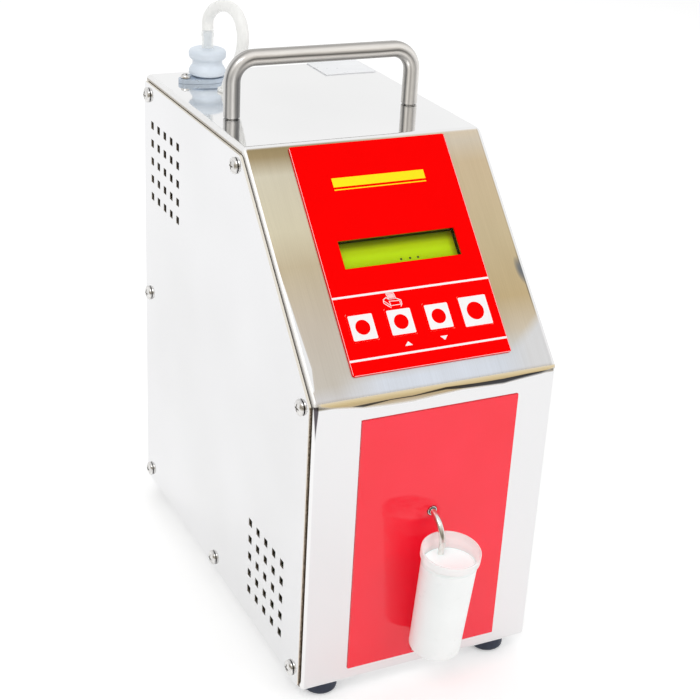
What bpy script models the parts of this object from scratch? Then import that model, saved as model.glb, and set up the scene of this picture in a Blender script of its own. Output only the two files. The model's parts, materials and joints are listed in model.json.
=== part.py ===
"""Bench milk analyzer.

A folded steel casing has a screwed cover on its left side, a sloped panel with a display and four
keys, a carry handle, and a sample cup under a bent intake pipe. Inside are the sensor block, a
peristaltic pump with its hose, the boards and the transformer.

Lengths are metres. Sub-parts are placed in the casing's own frame: x runs right from the cover's
outer face, y runs back from the front face, and z runs up from the casing's underside.
"""

import bpy
import bmesh
from math import acos, atan2, cos, pi, radians, sin, sqrt, tan
from mathutils import Matrix, Vector

# Clearances that every sub-part shares
SEAT_GAP = 0.0003
CUT_OVERRUN = 0.0020
MERGE_DISTANCE = 0.00001

# Casing: one folded sheet, open on the left inside a narrow flange
CASING_WIDTH = 0.1250
CASING_DEPTH = 0.2200
CASING_HEIGHT = 0.2387
FRONT_HEIGHT = 0.1501
TOP_SETBACK = 0.0859
CASING_SHEET = 0.0012
BEND_RADIUS = 0.0026
FLANGE_WIDTH = 0.0150

# Side cover: a flat plate, inset a little from the casing's outline
COVER_SHEET = 0.0012
COVER_INSET_BOTTOM = 0.0033
COVER_INSET_REAR = 0.0030
COVER_INSET_TOP = 0.0029
COVER_INSET_FRONT = 0.0010
COVER_CORNER_RADIUS = 0.0020
VENT_SIDE = 0.0040
VENT_PITCH = 0.0096
VENT_COUNT = 5
UPPER_VENT_FROM_REAR = 0.0346
UPPER_VENT_FROM_TOP = 0.0427
LOWER_VENT_FROM_FRONT = 0.0424
LOWER_VENT_FROM_BOTTOM = 0.0388

# Cover screws: pan heads with a cross recess
SCREW_INSET = 0.0090
SCREW_SHANK_RADIUS = 0.0014
SCREW_HEAD_RADIUS = 0.0039
SCREW_HEAD_HEIGHT = 0.0020
SCREW_HEAD_RIM = 0.0006
SCREW_LENGTH = 0.0070
RECESS_REACH = 0.0020
RECESS_WIDTH = 0.0008
RECESS_DEPTH = 0.0011

# Feet: rubber, pushed through the bottom
FOOT_RADIUS = 0.0083
FOOT_HEIGHT = 0.0070
FOOT_EDGE_RADIUS = 0.0020
FOOT_INSET_SIDE = 0.0163
FOOT_INSET_END = 0.0105
FOOT_NECK_RADIUS = 0.0025
FOOT_BARB_RADIUS = 0.0036
FOOT_BARB_HEIGHT = 0.0030

# Carry handle: a bent round bar on two threaded studs
HANDLE_RADIUS = 0.0040
HANDLE_SPREAD = 0.76 * CASING_WIDTH
HANDLE_SHIFT = -0.0012
HANDLE_FROM_FRONT = 0.1316
HANDLE_RISE = 0.0283
HANDLE_BEND = 0.0110
HANDLE_SHOULDER = 0.0002
STUD_RADIUS = 0.0030
STUD_LENGTH = 0.0110
NUT_ACROSS_FLATS = 0.0100
NUT_HEIGHT = 0.0050

# Keypad overlay on the slope, with the display's window and the keys' openings
OVERLAY_WIDTH = 0.0800
OVERLAY_LENGTH = 0.1110
OVERLAY_SHIFT = 0.0000
OVERLAY_FROM_FOLD = 0.0104
OVERLAY_SHEET = 0.0005
OVERLAY_CORNER_RADIUS = 0.0012
WINDOW_WIDTH = 0.0588
WINDOW_HEIGHT = 0.0128
WINDOW_SHIFT = 0.0002
WINDOW_FROM_FOLD = 0.0665
WINDOW_SHEET = 0.0005
WINDOW_MARGIN = 0.0010

# Keys: a cap in the overlay with a stem through the panel
KEY_PITCH = 0.01905
KEY_ROW_SHIFT = -0.0004
KEY_FROM_FOLD = 0.0324
KEY_SIDE = 0.0133
KEY_OK_SIDE = 0.0150
KEY_CORNER_RADIUS = 0.0008
KEY_CAP_SHEET = 0.0006
KEY_CAP_LIFT = 0.0008
KEY_STEM_RADIUS = 0.0030
KEY_STEM_REACH = 0.0031
KEY_STEM_CLEARANCE = 0.0004
KEY_TRAVEL = 0.0005
PLUNGER_CLEARANCE = 0.0001

# Boards behind the panel
BOARD_SHEET = 0.0016
STANDOFF_RADIUS = 0.0020
STANDOFF_INSET = 0.0028
BEZEL_WIDTH = 0.0713
BEZEL_HEIGHT = 0.0243
BEZEL_DEPTH = 0.0042
BEZEL_OPENING_MARGIN = 0.0012
GLASS_DEPTH = 0.0022
LCD_BOARD_WIDTH = 0.0800
LCD_BOARD_HEIGHT = 0.0360
KEY_BOARD_WIDTH = 0.0800
KEY_BOARD_HEIGHT = 0.0240
SWITCH_SIDE = 0.0060
SWITCH_HEIGHT = 0.0030
PLUNGER_RADIUS = 0.0017
PLUNGER_HEIGHT = 0.0005

# Front label, intake pipe and its bush
LABEL_WIDTH = 0.0793
LABEL_HEIGHT = 0.1320
LABEL_SHIFT = 0.0017
LABEL_FROM_BOTTOM = 0.0077
LABEL_SHEET = 0.0004
PIPE_SHIFT = 0.0009
PIPE_HEIGHT = 0.0865
PIPE_RADIUS = 0.0015
PIPE_BEND = 0.0120
PIPE_DROP = 0.0490
PIPE_INSIDE = 0.0160
PIPE_CLEARANCE = 0.0004
BUSH_RADIUS = 0.0023
BUSH_LIP = 0.0010
BUSH_FLANGE_RADIUS = 0.0045
BUSH_FLANGE_SHEET = 0.0015

# Sample cup, its milk and its rest
CUP_LEAN = radians(7.4)
CUP_LENGTH = 0.0575
CUP_LIP_RADIUS = 0.0145
CUP_TOP_RADIUS = 0.0133
CUP_BOTTOM_RADIUS = 0.0118
CUP_WALL = 0.0011
CUP_LIP_HEIGHT = 0.0048
CUP_LIP_STEP = 0.0008
CUP_EDGE_RADIUS = 0.0024
CUP_BASE_HEIGHT = 0.0200
CUP_BASE_FROM_FRONT = 0.0132
CUP_LIFT = 0.0040
MILK_BELOW_RIM = 0.0095
REST_WIDTH = 0.0110
REST_SHEET = 0.0012
REST_REACH = 0.0085
REST_FOOT_HEIGHT = 0.0100
REST_STUD_RADIUS = 0.0015
REST_STUD_LENGTH = 0.0060
REST_STUD_RISE = 0.0040

# Hose fitting on the top
FITTING_FROM_COVER = 0.0280
FITTING_FROM_REAR = 0.0202
FITTING_NECK_RADIUS = 0.0060
FITTING_NECK_REACH = 0.0090
FITTING_RING_RADIUS = 0.0095
FITTING_GROOVE_RADIUS = 0.0076
FITTING_DISC_RADIUS = 0.0096
FITTING_RING_RISE = 0.0029
FITTING_RING_HEIGHT = 0.0049
FITTING_GROOVE_HEIGHT = 0.0033
FITTING_DISC_HEIGHT = 0.0053
FITTING_RIM_RADIUS = 0.0021
BARB_STEM_RADIUS = 0.0020
BARB_HEAD_RADIUS = 0.0024
BARB_STEM_HEIGHT = 0.0062
BARB_HEAD_HEIGHT = 0.0028
FLANGE_RING_RADIUS = 0.0090
FLANGE_SHEET = 0.0020
EAR_REACH = 0.0128
EAR_RADIUS = 0.0037
EAR_TURN = radians(11)
FLANGE_SCREW_HEAD = 0.0026

# Hose from the fitting back into the top
HOSE_RADIUS = 0.0030
GROMMET_FROM_COVER = 0.0300
GROMMET_FROM_REAR = 0.0430
GROMMET_FLANGE_RADIUS = 0.0048
GROMMET_FLANGE_SHEET = 0.0011
GROMMET_WALL = 0.0010

# Bare plate on the top
PLATE_WIDTH = 0.0295
PLATE_LENGTH = 0.0250
PLATE_FROM_RIGHT = 0.0183
PLATE_FROM_REAR = 0.0150
PLATE_SHEET = 0.0003

# Rear panel: mains inlet, power switch, serial port and fuse
REAR_ROW_HEIGHT = 0.0420
INLET_FROM_COVER = 0.28 * CASING_WIDTH
INLET_FLANGE_WIDTH = 0.0310
INLET_FLANGE_HEIGHT = 0.0240
INLET_FLANGE_SHEET = 0.0020
INLET_BODY_WIDTH = 0.0270
INLET_BODY_HEIGHT = 0.0200
INLET_BODY_DEPTH = 0.0190
INLET_RECESS_WIDTH = 0.0240
INLET_RECESS_HEIGHT = 0.0160
INLET_RECESS_DEPTH = 0.0165
PIN_WIDTH = 0.0020
PIN_HEIGHT = 0.0040
PIN_LENGTH = 0.0100
PIN_PITCH = 0.0070
PIN_RISE = 0.0020
SWITCH_FROM_COVER = 0.56 * CASING_WIDTH
FRAME_WIDTH = 0.0150
FRAME_HEIGHT = 0.0210
FRAME_SHEET = 0.0020
FRAME_BODY_WIDTH = 0.0132
FRAME_BODY_HEIGHT = 0.0185
FRAME_BODY_DEPTH = 0.0120
ROCKER_WIDTH = 0.0100
ROCKER_RADIUS = 0.0072
ROCKER_CREST = 0.0032
ROCKER_VALLEY = 0.0014
ROCKER_TILT = radians(10)
ROCKER_PIN_RADIUS = 0.0010
ROCKER_PIN_LENGTH = 0.0006
PORT_FROM_COVER = 0.80 * CASING_WIDTH
PORT_FLANGE_WIDTH = 0.0310
PORT_FLANGE_HEIGHT = 0.0125
PORT_FLANGE_SHEET = 0.0010
PORT_SHELL_WIDTH = 0.0169
PORT_SHELL_HEIGHT = 0.0083
PORT_SHELL_RISE = 0.0050
PORT_SHELL_SLANT = 0.0015
PORT_BODY_DEPTH = 0.0080
PORT_JACK_SPACING = 0.0250
PORT_JACK_RADIUS = 0.0025
FUSE_RISE_ABOVE_ROW = 0.0300
FUSE_CAP_RADIUS = 0.0065
FUSE_CAP_HEIGHT = 0.0050
FUSE_BODY_RADIUS = 0.0060
FUSE_BODY_DEPTH = 0.0250
FUSE_SLOT_WIDTH = 0.0012
FUSE_SLOT_DEPTH = 0.0015

# Inside: main board behind the lower vents
MAIN_BOARD_FROM_COVER = 0.0200
MAIN_BOARD_FROM_FRONT = 0.0180
MAIN_BOARD_FROM_BOTTOM = 0.0100
MAIN_BOARD_LENGTH = 0.1300
MAIN_BOARD_HEIGHT = 0.0950
BOARD_BRACKET_LENGTH = 0.0900
BOARD_BRACKET_HEIGHT = 0.0160
BOARD_BRACKET_FOOT = 0.0150
BRACKET_SHEET = 0.0012
CHIP_RISE = 0.0300
CHIP_SIDE = 0.0140
CHIP_PITCH = 0.0260
CHIP_HEIGHT = 0.0025
CHIP_COUNT = 4

# Inside: transformer on the floor
CORE_WIDTH = 0.40 * CASING_WIDTH
CORE_DEPTH = 0.18 * CASING_DEPTH
CORE_HEIGHT = 0.0420
COIL_WIDTH = 0.24 * CASING_WIDTH
COIL_DEPTH = 0.236 * CASING_DEPTH
COIL_HEIGHT = 0.0260
TRANSFORMER_FROM_COVER = 0.656 * CASING_WIDTH
TRANSFORMER_FROM_REAR = 0.205 * CASING_DEPTH

# Inside: sensor block at the end of the pipe
SENSOR_WIDTH = 0.0340
SENSOR_DEPTH = 0.0400
SENSOR_HEIGHT = 0.0300
SENSOR_SOCKET_DEPTH = 0.0060
SENSOR_EDGE = 0.0020
NIPPLE_RADIUS = 0.0022
NIPPLE_LENGTH = 0.0050
SENSOR_BRACKET_WIDTH = 0.0300
SENSOR_BRACKET_FOOT = 0.0180

# Inside: peristaltic pump
PUMP_FROM_COVER = 0.672 * CASING_WIDTH
PUMP_SIDE = 0.0520
PUMP_DEPTH = 0.0200
PUMP_FLOOR = 0.0030
PUMP_TRACK_RADIUS = 0.0220
PUMP_CORNER_RADIUS = 0.0040
TUBE_TRACK_RADIUS = 0.0187
TUBE_RADIUS = 0.0025
ROTOR_DISC_RADIUS = 0.0140
ROTOR_DISC_SHEET = 0.0020
ROTOR_HUB_RADIUS = 0.0050
ROTOR_PIN_REACH = 0.0110
ROTOR_PIN_RADIUS = 0.0015
ROLLER_RADIUS = 0.0045
ROLLER_LENGTH = 0.0110
ROLLER_COUNT = 3
SHAFT_RADIUS = 0.0020
SHAFT_REACH = 0.0080
MOTOR_RADIUS = 0.0180
MOTOR_LENGTH = 0.0420
MOTOR_EDGE = 0.0015
PUMP_PLATE_FROM_FRONT = 0.1200
PUMP_BRACKET_WIDTH = 0.0520
PUMP_BRACKET_FOOT = 0.0200

# Hose route in the casing's frame, from the fitting's barb to the grommet
HOSE_ROUTE = (
    (0.0280, 0.1998, 0.2645), (0.0280, 0.1998, 0.2690), (0.0283, 0.1972, 0.2730),
    (0.0287, 0.1925, 0.2765), (0.0294, 0.1845, 0.2797), (0.0303, 0.1765, 0.2808),
    (0.0311, 0.1696, 0.2796), (0.0316, 0.1651, 0.2765), (0.0319, 0.1628, 0.2725),
    (0.0320, 0.1620, 0.2680), (0.0318, 0.1628, 0.2625), (0.0314, 0.1655, 0.2565),
    (0.0308, 0.1702, 0.2500), (0.0303, 0.1745, 0.2450), (0.0300, 0.1767, 0.2413),
    (0.0300, 0.1770, 0.2390), (0.0300, 0.1770, 0.2370), (0.0300, 0.1770, 0.2300),
)

# Sizes worked out from the ones above
COVER_SPACE = COVER_SHEET + SEAT_GAP
CENTRE_X = (COVER_SPACE + CASING_WIDTH) / 2
SLOPE_ANGLE = atan2(CASING_HEIGHT - FRONT_HEIGHT, TOP_SETBACK)
INNER_FLOOR = CASING_SHEET + SEAT_GAP
LABEL_FACE = SEAT_GAP + LABEL_SHEET
PIPE_X = CENTRE_X + PIPE_SHIFT
CUP_RIM_FROM_FRONT = CUP_BASE_FROM_FRONT + CUP_LENGTH * sin(CUP_LEAN)
REAR_REACH = SEAT_GAP + max(PORT_FLANGE_SHEET + PORT_SHELL_RISE, FUSE_CAP_HEIGHT)
PUMP_Y = PUMP_PLATE_FROM_FRONT - BRACKET_SHEET - SEAT_GAP
PUMP_Z = PIPE_HEIGHT + TUBE_TRACK_RADIUS

# Rotations that lay an outline on a face of the casing
FLAT = (0, 0, 0)
ON_SIDE = (pi / 2, 0, pi / 2)
ON_FRONT = (pi / 2, 0, 0)
ON_REAR = (pi / 2, 0, pi)

# Colour, roughness and metallic value of each finish
FINISHES = {
    "polished steel": ((0.80, 0.79, 0.77), 0.10, 1.0),
    "satin steel": ((0.62, 0.60, 0.57), 0.30, 1.0),
    "screw steel": ((0.55, 0.54, 0.52), 0.25, 1.0),
    "overlay red": ((0.85, 0.01, 0.01), 0.40, 0.0),
    "label red": ((0.80, 0.02, 0.03), 0.20, 0.0),
    "key white": ((0.90, 0.88, 0.86), 0.45, 0.0),
    "clear window": ((0.85, 0.90, 0.85), 0.05, 0.0),
    "display green": ((0.45, 0.62, 0.06), 0.15, 0.0),
    "black metal": ((0.03, 0.03, 0.03), 0.40, 0.0),
    "black plastic": ((0.02, 0.02, 0.02), 0.45, 0.0),
    "rubber": ((0.01, 0.012, 0.02), 0.70, 0.0),
    "board green": ((0.02, 0.16, 0.06), 0.45, 0.0),
    "cup plastic": ((0.85, 0.84, 0.86), 0.35, 0.0),
    "milk": ((0.93, 0.93, 0.92), 0.25, 0.0),
    "fitting grey": ((0.50, 0.56, 0.62), 0.45, 0.0),
    "hose": ((0.82, 0.82, 0.80), 0.35, 0.0),
    "bare plate": ((0.80, 0.80, 0.80), 0.30, 0.0),
    "zinc": ((0.60, 0.60, 0.58), 0.45, 1.0),
    "grey plastic": ((0.35, 0.36, 0.38), 0.50, 0.0),
    "copper": ((0.50, 0.22, 0.08), 0.45, 0.5),
    "roller white": ((0.80, 0.80, 0.78), 0.40, 0.0),
}


# Collections, objects and placing

def empty_scene():
    for old in list(bpy.data.objects):
        bpy.data.objects.remove(old, do_unlink=True)


def new_collection(name, parent):
    collection = bpy.data.collections.new(name)
    parent.children.link(collection)
    return collection


empty_scene()
PARTS = new_collection("milk_analyzer", bpy.context.scene.collection)
CUTTERS = new_collection("cutters", bpy.context.scene.collection)
CASING_CUTS = new_collection("casing_cuts", CUTTERS)


def finish(name, kind):
    """A material of the part's own, with the finish of its kind."""
    colour, roughness, metallic = FINISHES[kind]
    material = bpy.data.materials.new(name)
    material.use_nodes = True
    shader = material.node_tree.nodes["Principled BSDF"]
    shader.inputs["Base Color"].default_value = (*colour, 1)
    shader.inputs["Roughness"].default_value = roughness
    shader.inputs["Metallic"].default_value = metallic
    material.diffuse_color = (*colour, 1)
    return material


def add(name, data, kind=None, at=FLAT, turn=FLAT, parent=None, collection=None):
    """Places an object. Without a kind of finish it is a cutter, which no render shows."""
    thing = bpy.data.objects.new(name, data)
    thing.location = at
    thing.rotation_euler = turn
    thing.parent = parent
    if kind:
        PARTS.objects.link(thing)
        thing.data.materials.append(finish(name, kind))
    else:
        (collection or CUTTERS).objects.link(thing)
        thing.hide_render = True
        thing.display_type = "WIRE"
    return thing


def frame(name, at, turn=FLAT, parent=None):
    """An empty that carries the pieces placed in its frame."""
    carrier = bpy.data.objects.new(name, None)
    carrier.location = at
    carrier.rotation_euler = turn
    carrier.parent = parent
    PARTS.objects.link(carrier)
    return carrier


# Meshes

def mesh_of(bm, name="mesh"):
    mesh = bpy.data.meshes.new(name)
    bm.to_mesh(mesh)
    bm.free()
    return mesh


def settled_mesh(thing):
    """The evaluated mesh of a curve or of a piece with modifiers, welded, with the object removed."""
    bpy.context.view_layer.update()
    graph = bpy.context.evaluated_depsgraph_get()
    mesh = bpy.data.meshes.new_from_object(thing.evaluated_get(graph))
    bpy.data.objects.remove(thing, do_unlink=True)
    bm = bmesh.new()
    bm.from_mesh(mesh)
    bmesh.ops.remove_doubles(bm, verts=bm.verts, dist=MERGE_DISTANCE)
    bmesh.ops.recalc_face_normals(bm, faces=bm.faces)
    bm.to_mesh(mesh)
    bm.free()
    mesh.materials.clear()
    return mesh


def smooth(mesh, angle=radians(35)):
    mesh.shade_smooth()
    mesh.set_sharp_from_angle(angle=angle)
    return mesh


def block_mesh(width, depth, height, edge=0):
    """A box centred on its origin, with rounded edges if a radius is given."""
    bm = bmesh.new()
    bmesh.ops.create_cube(bm, size=1)
    bmesh.ops.scale(bm, vec=(width, depth, height), verts=bm.verts)
    if edge:
        bmesh.ops.bevel(bm, geom=bm.edges[:], offset=edge, segments=2, profile=0.5, affect="EDGES")
    return mesh_of(bm)


def rod_mesh(radius, length, sides=24):
    """A cylinder centred on its origin, along z."""
    bm = bmesh.new()
    bmesh.ops.create_cone(
        bm, cap_ends=True, segments=sides, radius1=radius, radius2=radius, depth=length)
    return smooth(mesh_of(bm))


def plate_mesh(outlines, thickness):
    """A flat plate centred on its own plane. The first outline is its edge, the others are holes."""
    curve = bpy.data.curves.new("outline", "CURVE")
    curve.dimensions = "2D"
    curve.fill_mode = "BOTH"
    curve.extrude = thickness / 2
    for outline in outlines:
        spline = curve.splines.new("POLY")
        spline.points.add(len(outline) - 1)
        spline.use_cyclic_u = True
        for point, corner in zip(spline.points, outline):
            point.co = (corner[0], corner[1], 0, 1)
    return settled_mesh(add("outline", curve))


def turned(name, profile, kind=None, sides=32, closed=False, **place):
    """A turned piece. Its profile of (radius, height) runs down the outer side."""
    mesh = bpy.data.meshes.new(name)
    count = len(profile)
    edges = [(index, index + 1) for index in range(count - 1)]
    if closed:
        edges.append((count - 1, 0))
    mesh.from_pydata([(radius, 0, height) for radius, height in profile], edges, [])
    piece = add(name, mesh, kind, **place)
    screw = piece.modifiers.new("turn", "SCREW")
    screw.steps = sides
    screw.render_steps = sides
    screw.use_merge_vertices = True
    screw.merge_threshold = MERGE_DISTANCE
    return piece


def tube(name, points, radius, kind, level, sizes=None, **place):
    """A round bar, pipe or hose along a list of points."""
    curve = bpy.data.curves.new(name, "CURVE")
    curve.dimensions = "3D"
    curve.bevel_depth = radius
    curve.bevel_resolution = level
    curve.use_fill_caps = True
    spline = curve.splines.new("POLY")
    spline.points.add(len(points) - 1)
    for index, point in enumerate(points):
        spline.points[index].co = (*point, 1)
        spline.points[index].radius = sizes[index] if sizes else 1
        spline.use_smooth = True
    return add(name, curve, kind, **place)


def boolean(piece, other, operation):
    modifier = piece.modifiers.new(other.name, "BOOLEAN")
    modifier.operation = operation
    modifier.object = other


def cut(piece, cutter):
    boolean(piece, cutter, "DIFFERENCE")


def join(piece, other):
    boolean(piece, other, "UNION")


# Outlines, all counter-clockwise

def rectangle(width, height, centre=(0, 0)):
    x, y = centre
    half_width, half_height = width / 2, height / 2
    return [
        (x - half_width, y - half_height), (x + half_width, y - half_height),
        (x + half_width, y + half_height), (x - half_width, y + half_height),
    ]


def circle(radius, centre=(0, 0), sides=20):
    angles = [2 * pi * step / sides for step in range(sides)]
    return [(centre[0] + radius * cos(angle), centre[1] + radius * sin(angle)) for angle in angles]


def arc(centre, radius, start, end, steps):
    """Points on an arc, with both of its ends."""
    angles = [start + (end - start) * step / steps for step in range(steps + 1)]
    return [(centre[0] + radius * cos(angle), centre[1] + radius * sin(angle)) for angle in angles]


def inset_outline(corners, insets):
    """Corners of a convex outline whose edges each move inwards by their own inset."""
    lines = []
    for index, inset in enumerate(insets):
        start = Vector(corners[index])
        along = (Vector(corners[(index + 1) % len(corners)]) - start).normalized()
        lines.append((start + Vector((-along.y, along.x)) * inset, along))
    moved = []
    for index, (start, along) in enumerate(lines):
        before, heading = lines[index - 1]
        turning = heading.x * along.y - heading.y * along.x
        across = start - before
        moved.append(before + heading * ((across.x * along.y - across.y * along.x) / turning))
    return moved


def fillet_outline(corners, radius, steps=4):
    """The outline with each corner turned into an arc."""
    rounded = []
    for index, corner in enumerate(corners):
        here = Vector(corner)
        back = (Vector(corners[index - 1]) - here).normalized()
        ahead = (Vector(corners[(index + 1) % len(corners)]) - here).normalized()
        half = back.angle(ahead) / 2
        centre = here + (back + ahead).normalized() * (radius / sin(half))
        arm = here + back * (radius / tan(half)) - centre
        sweep = pi - 2 * half
        rounded += [centre + Matrix.Rotation(sweep * step / steps, 2) @ arm for step in range(steps + 1)]
    return [tuple(point) for point in rounded]


def smooth_route(waypoints, steps):
    """Points on one smooth curve through the waypoints."""
    points = [Vector(waypoint) for waypoint in waypoints]
    ends = [2 * points[0] - points[1], *points, 2 * points[-1] - points[-2]]
    route = []
    for before, start, end, after in zip(ends, ends[1:], ends[2:], ends[3:]):
        for step in range(steps):
            t = step / steps
            route.append((
                2 * start + (end - before) * t
                + (2 * before - 5 * start + 4 * end - after) * t ** 2
                + (3 * start - before - 3 * end + after) * t ** 3) / 2)
    return [tuple(point) for point in [*route, points[-1]]]


def casing_outline():
    """The casing seen from its left side, as (y, z)."""
    return [
        (0, 0), (CASING_DEPTH, 0), (CASING_DEPTH, CASING_HEIGHT),
        (TOP_SETBACK, CASING_HEIGHT), (0, FRONT_HEIGHT),
    ]


def screw_places():
    """The cover's screws: one in each corner, and one halfway along the bottom and the rear."""
    corners = inset_outline(casing_outline(), [SCREW_INSET] * 5)
    bottom = (corners[0] + corners[1]) / 2
    rear = (corners[1] + corners[2]) / 2
    return [tuple(place) for place in (*corners, bottom, rear)]


# Casing and side cover

def casing_mesh():
    """The folded sheet as an open surface, with its flange round the open left side."""
    bm = bmesh.new()
    bm.from_mesh(plate_mesh([casing_outline()], CASING_WIDTH - COVER_SPACE))
    bmesh.ops.dissolve_limit(bm, angle_limit=radians(1), verts=bm.verts, edges=bm.edges)
    bmesh.ops.bevel(
        bm, geom=bm.edges[:], offset=BEND_RADIUS, segments=3, profile=0.5, affect="EDGES")
    left = min(bm.faces, key=lambda face: face.calc_center_median().z)
    bmesh.ops.inset_region(
        bm, faces=[left], thickness=FLANGE_WIDTH - BEND_RADIUS, use_even_offset=True)
    bmesh.ops.delete(bm, geom=[left], context="FACES_ONLY")
    return smooth(mesh_of(bm), radians(25))


def build_casing(casing):
    shell = add(
        "casing_shell", casing_mesh(), "polished steel",
        at=(CENTRE_X, 0, 0), turn=ON_SIDE, parent=casing)
    sheet = shell.modifiers.new("sheet", "SOLIDIFY")
    sheet.thickness = CASING_SHEET
    sheet.offset = -1
    sheet.use_even_offset = True
    holes = shell.modifiers.new("holes", "BOOLEAN")
    holes.operation = "DIFFERENCE"
    holes.operand_type = "COLLECTION"
    holes.collection = CASING_CUTS


def casing_hole(name, mesh, at, turn, parent):
    add(name, mesh, at=at, turn=turn, parent=parent, collection=CASING_CUTS)


def vent_holes(centre):
    middle = (VENT_COUNT - 1) / 2
    return [
        rectangle(VENT_SIDE, VENT_SIDE, (
            centre[0] + (column - middle) * VENT_PITCH, centre[1] + (row - middle) * VENT_PITCH))
        for row in range(VENT_COUNT) for column in range(VENT_COUNT)
    ]


def build_cover(casing):
    insets = [
        COVER_INSET_BOTTOM, COVER_INSET_REAR, COVER_INSET_TOP, COVER_INSET_FRONT, COVER_INSET_FRONT]
    edge = fillet_outline(inset_outline(casing_outline(), insets), COVER_CORNER_RADIUS)
    upper = (CASING_DEPTH - UPPER_VENT_FROM_REAR, CASING_HEIGHT - UPPER_VENT_FROM_TOP)
    lower = (LOWER_VENT_FROM_FRONT, LOWER_VENT_FROM_BOTTOM)
    holes = [circle(SCREW_SHANK_RADIUS + SEAT_GAP, place, 12) for place in screw_places()]
    mesh = plate_mesh([edge, *vent_holes(upper), *vent_holes(lower), *holes], COVER_SHEET)
    add("side_cover", mesh, "polished steel", at=(COVER_SHEET / 2, 0, 0), turn=ON_SIDE, parent=casing)


def pan_screw_mesh(head_radius, head_height, shank_radius, length):
    """A pan-head screw along z, its head's underside at the origin, with a cross recess."""
    crown = [
        (head_radius * sin(angle), SCREW_HEAD_RIM + (head_height - SCREW_HEAD_RIM) * cos(angle))
        for angle in (0, pi / 6, pi / 3, pi / 2)
    ]
    profile = [*crown, (head_radius, 0), (shank_radius, 0), (shank_radius, -length), (0, -length)]
    screw = turned("screw", profile, sides=14)
    for number in range(2):
        slot = block_mesh(2 * RECESS_REACH, RECESS_WIDTH, 2 * RECESS_DEPTH)
        cut(screw, add(f"slot_{number}", slot, at=(0, 0, head_height), turn=(0, 0, number * pi / 2)))
    mesh = settled_mesh(screw)
    for number in range(2):
        bpy.data.objects.remove(bpy.data.objects[f"slot_{number}"])
    return smooth(mesh)


def build_cover_screws(casing):
    mesh = pan_screw_mesh(SCREW_HEAD_RADIUS, SCREW_HEAD_HEIGHT, SCREW_SHANK_RADIUS, SCREW_LENGTH)
    flange_hole = rod_mesh(SCREW_SHANK_RADIUS + SEAT_GAP, 2 * CUT_OVERRUN + CASING_SHEET, 12)
    for number, (y, z) in enumerate(screw_places(), 1):
        head_out = (0, -pi / 2, 0)
        add(f"cover_screw_{number}", mesh.copy(), "screw steel",
            at=(-SEAT_GAP, y, z), turn=head_out, parent=casing)
        casing_hole(f"flange_hole_{number}", flange_hole, (COVER_SPACE, y, z), head_out, casing)


# Feet and handle

def build_feet(casing):
    edge = arc(
        (FOOT_RADIUS - FOOT_EDGE_RADIUS, FOOT_EDGE_RADIUS - FOOT_HEIGHT), FOOT_EDGE_RADIUS, 0, -pi / 2, 3)
    profile = [
        (0, INNER_FLOOR + FOOT_BARB_HEIGHT), (FOOT_NECK_RADIUS, INNER_FLOOR + FOOT_BARB_HEIGHT),
        (FOOT_BARB_RADIUS, INNER_FLOOR), (FOOT_NECK_RADIUS, INNER_FLOOR),
        (FOOT_NECK_RADIUS, -SEAT_GAP), (FOOT_RADIUS, -SEAT_GAP), *edge, (0, -FOOT_HEIGHT),
    ]
    hole = rod_mesh(FOOT_NECK_RADIUS + SEAT_GAP, 2 * CUT_OVERRUN, 20)
    rows = {"front": FOOT_INSET_END, "rear": CASING_DEPTH - FOOT_INSET_END}
    columns = {"left": FOOT_INSET_SIDE, "right": CASING_WIDTH - FOOT_INSET_SIDE}
    for row, y in rows.items():
        for column, x in columns.items():
            turned(f"foot_{row}_{column}", profile, "rubber", 22, at=(x, y, 0), parent=casing)
            casing_hole(f"foot_hole_{row}_{column}", hole, (x, y, 0), FLAT, casing)


def handle_path():
    """Points and radius shares of the handle bar: stud, leg, bend, grip, and back down."""
    half = HANDLE_SPREAD / 2
    rise = HANDLE_RISE - HANDLE_BEND
    side = [(half, -STUD_LENGTH), (half, SEAT_GAP), (half, SEAT_GAP + HANDLE_SHOULDER)]
    side += arc((half - HANDLE_BEND, rise), HANDLE_BEND, 0, pi / 2, 6)
    shares = [STUD_RADIUS / HANDLE_RADIUS] * 2 + [1] * (len(side) - 2)
    points = [(x, 0, z) for x, z in side] + [(-x, 0, z) for x, z in reversed(side)]
    return points, shares + shares[::-1]


def hexagon(across_flats):
    return circle(across_flats / 2 / cos(pi / 6), sides=6)


def build_handle(casing):
    x = CENTRE_X + HANDLE_SHIFT
    points, shares = handle_path()
    tube("carry_handle", points, HANDLE_RADIUS, "satin steel", 4, shares,
         at=(x, HANDLE_FROM_FRONT, CASING_HEIGHT), parent=casing)
    nut = plate_mesh([hexagon(NUT_ACROSS_FLATS), circle(STUD_RADIUS + SEAT_GAP)], NUT_HEIGHT)
    hole = rod_mesh(STUD_RADIUS + SEAT_GAP, 2 * CUT_OVERRUN + CASING_SHEET)
    nut_z = CASING_HEIGHT - INNER_FLOOR - NUT_HEIGHT / 2
    for side, offset in {"left": -HANDLE_SPREAD / 2, "right": HANDLE_SPREAD / 2}.items():
        add(f"handle_nut_{side}", nut.copy(), "zinc",
            at=(x + offset, HANDLE_FROM_FRONT, nut_z), parent=casing)
        casing_hole(
            f"handle_hole_{side}", hole, (x + offset, HANDLE_FROM_FRONT, CASING_HEIGHT), FLAT, casing)


# Sloped panel: places on it are (x, distance up from the fold, height over the steel)

def key_table():
    """Name, place across the panel and side of each key."""
    names = ("key_mode", "key_up", "key_down", "key_ok")
    sides = (KEY_SIDE, KEY_SIDE, KEY_SIDE, KEY_OK_SIDE)
    middle = (len(names) - 1) / 2
    row_x = CENTRE_X + KEY_ROW_SHIFT
    return [
        (name, row_x + (number - middle) * KEY_PITCH, side)
        for number, (name, side) in enumerate(zip(names, sides))
    ]


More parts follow.
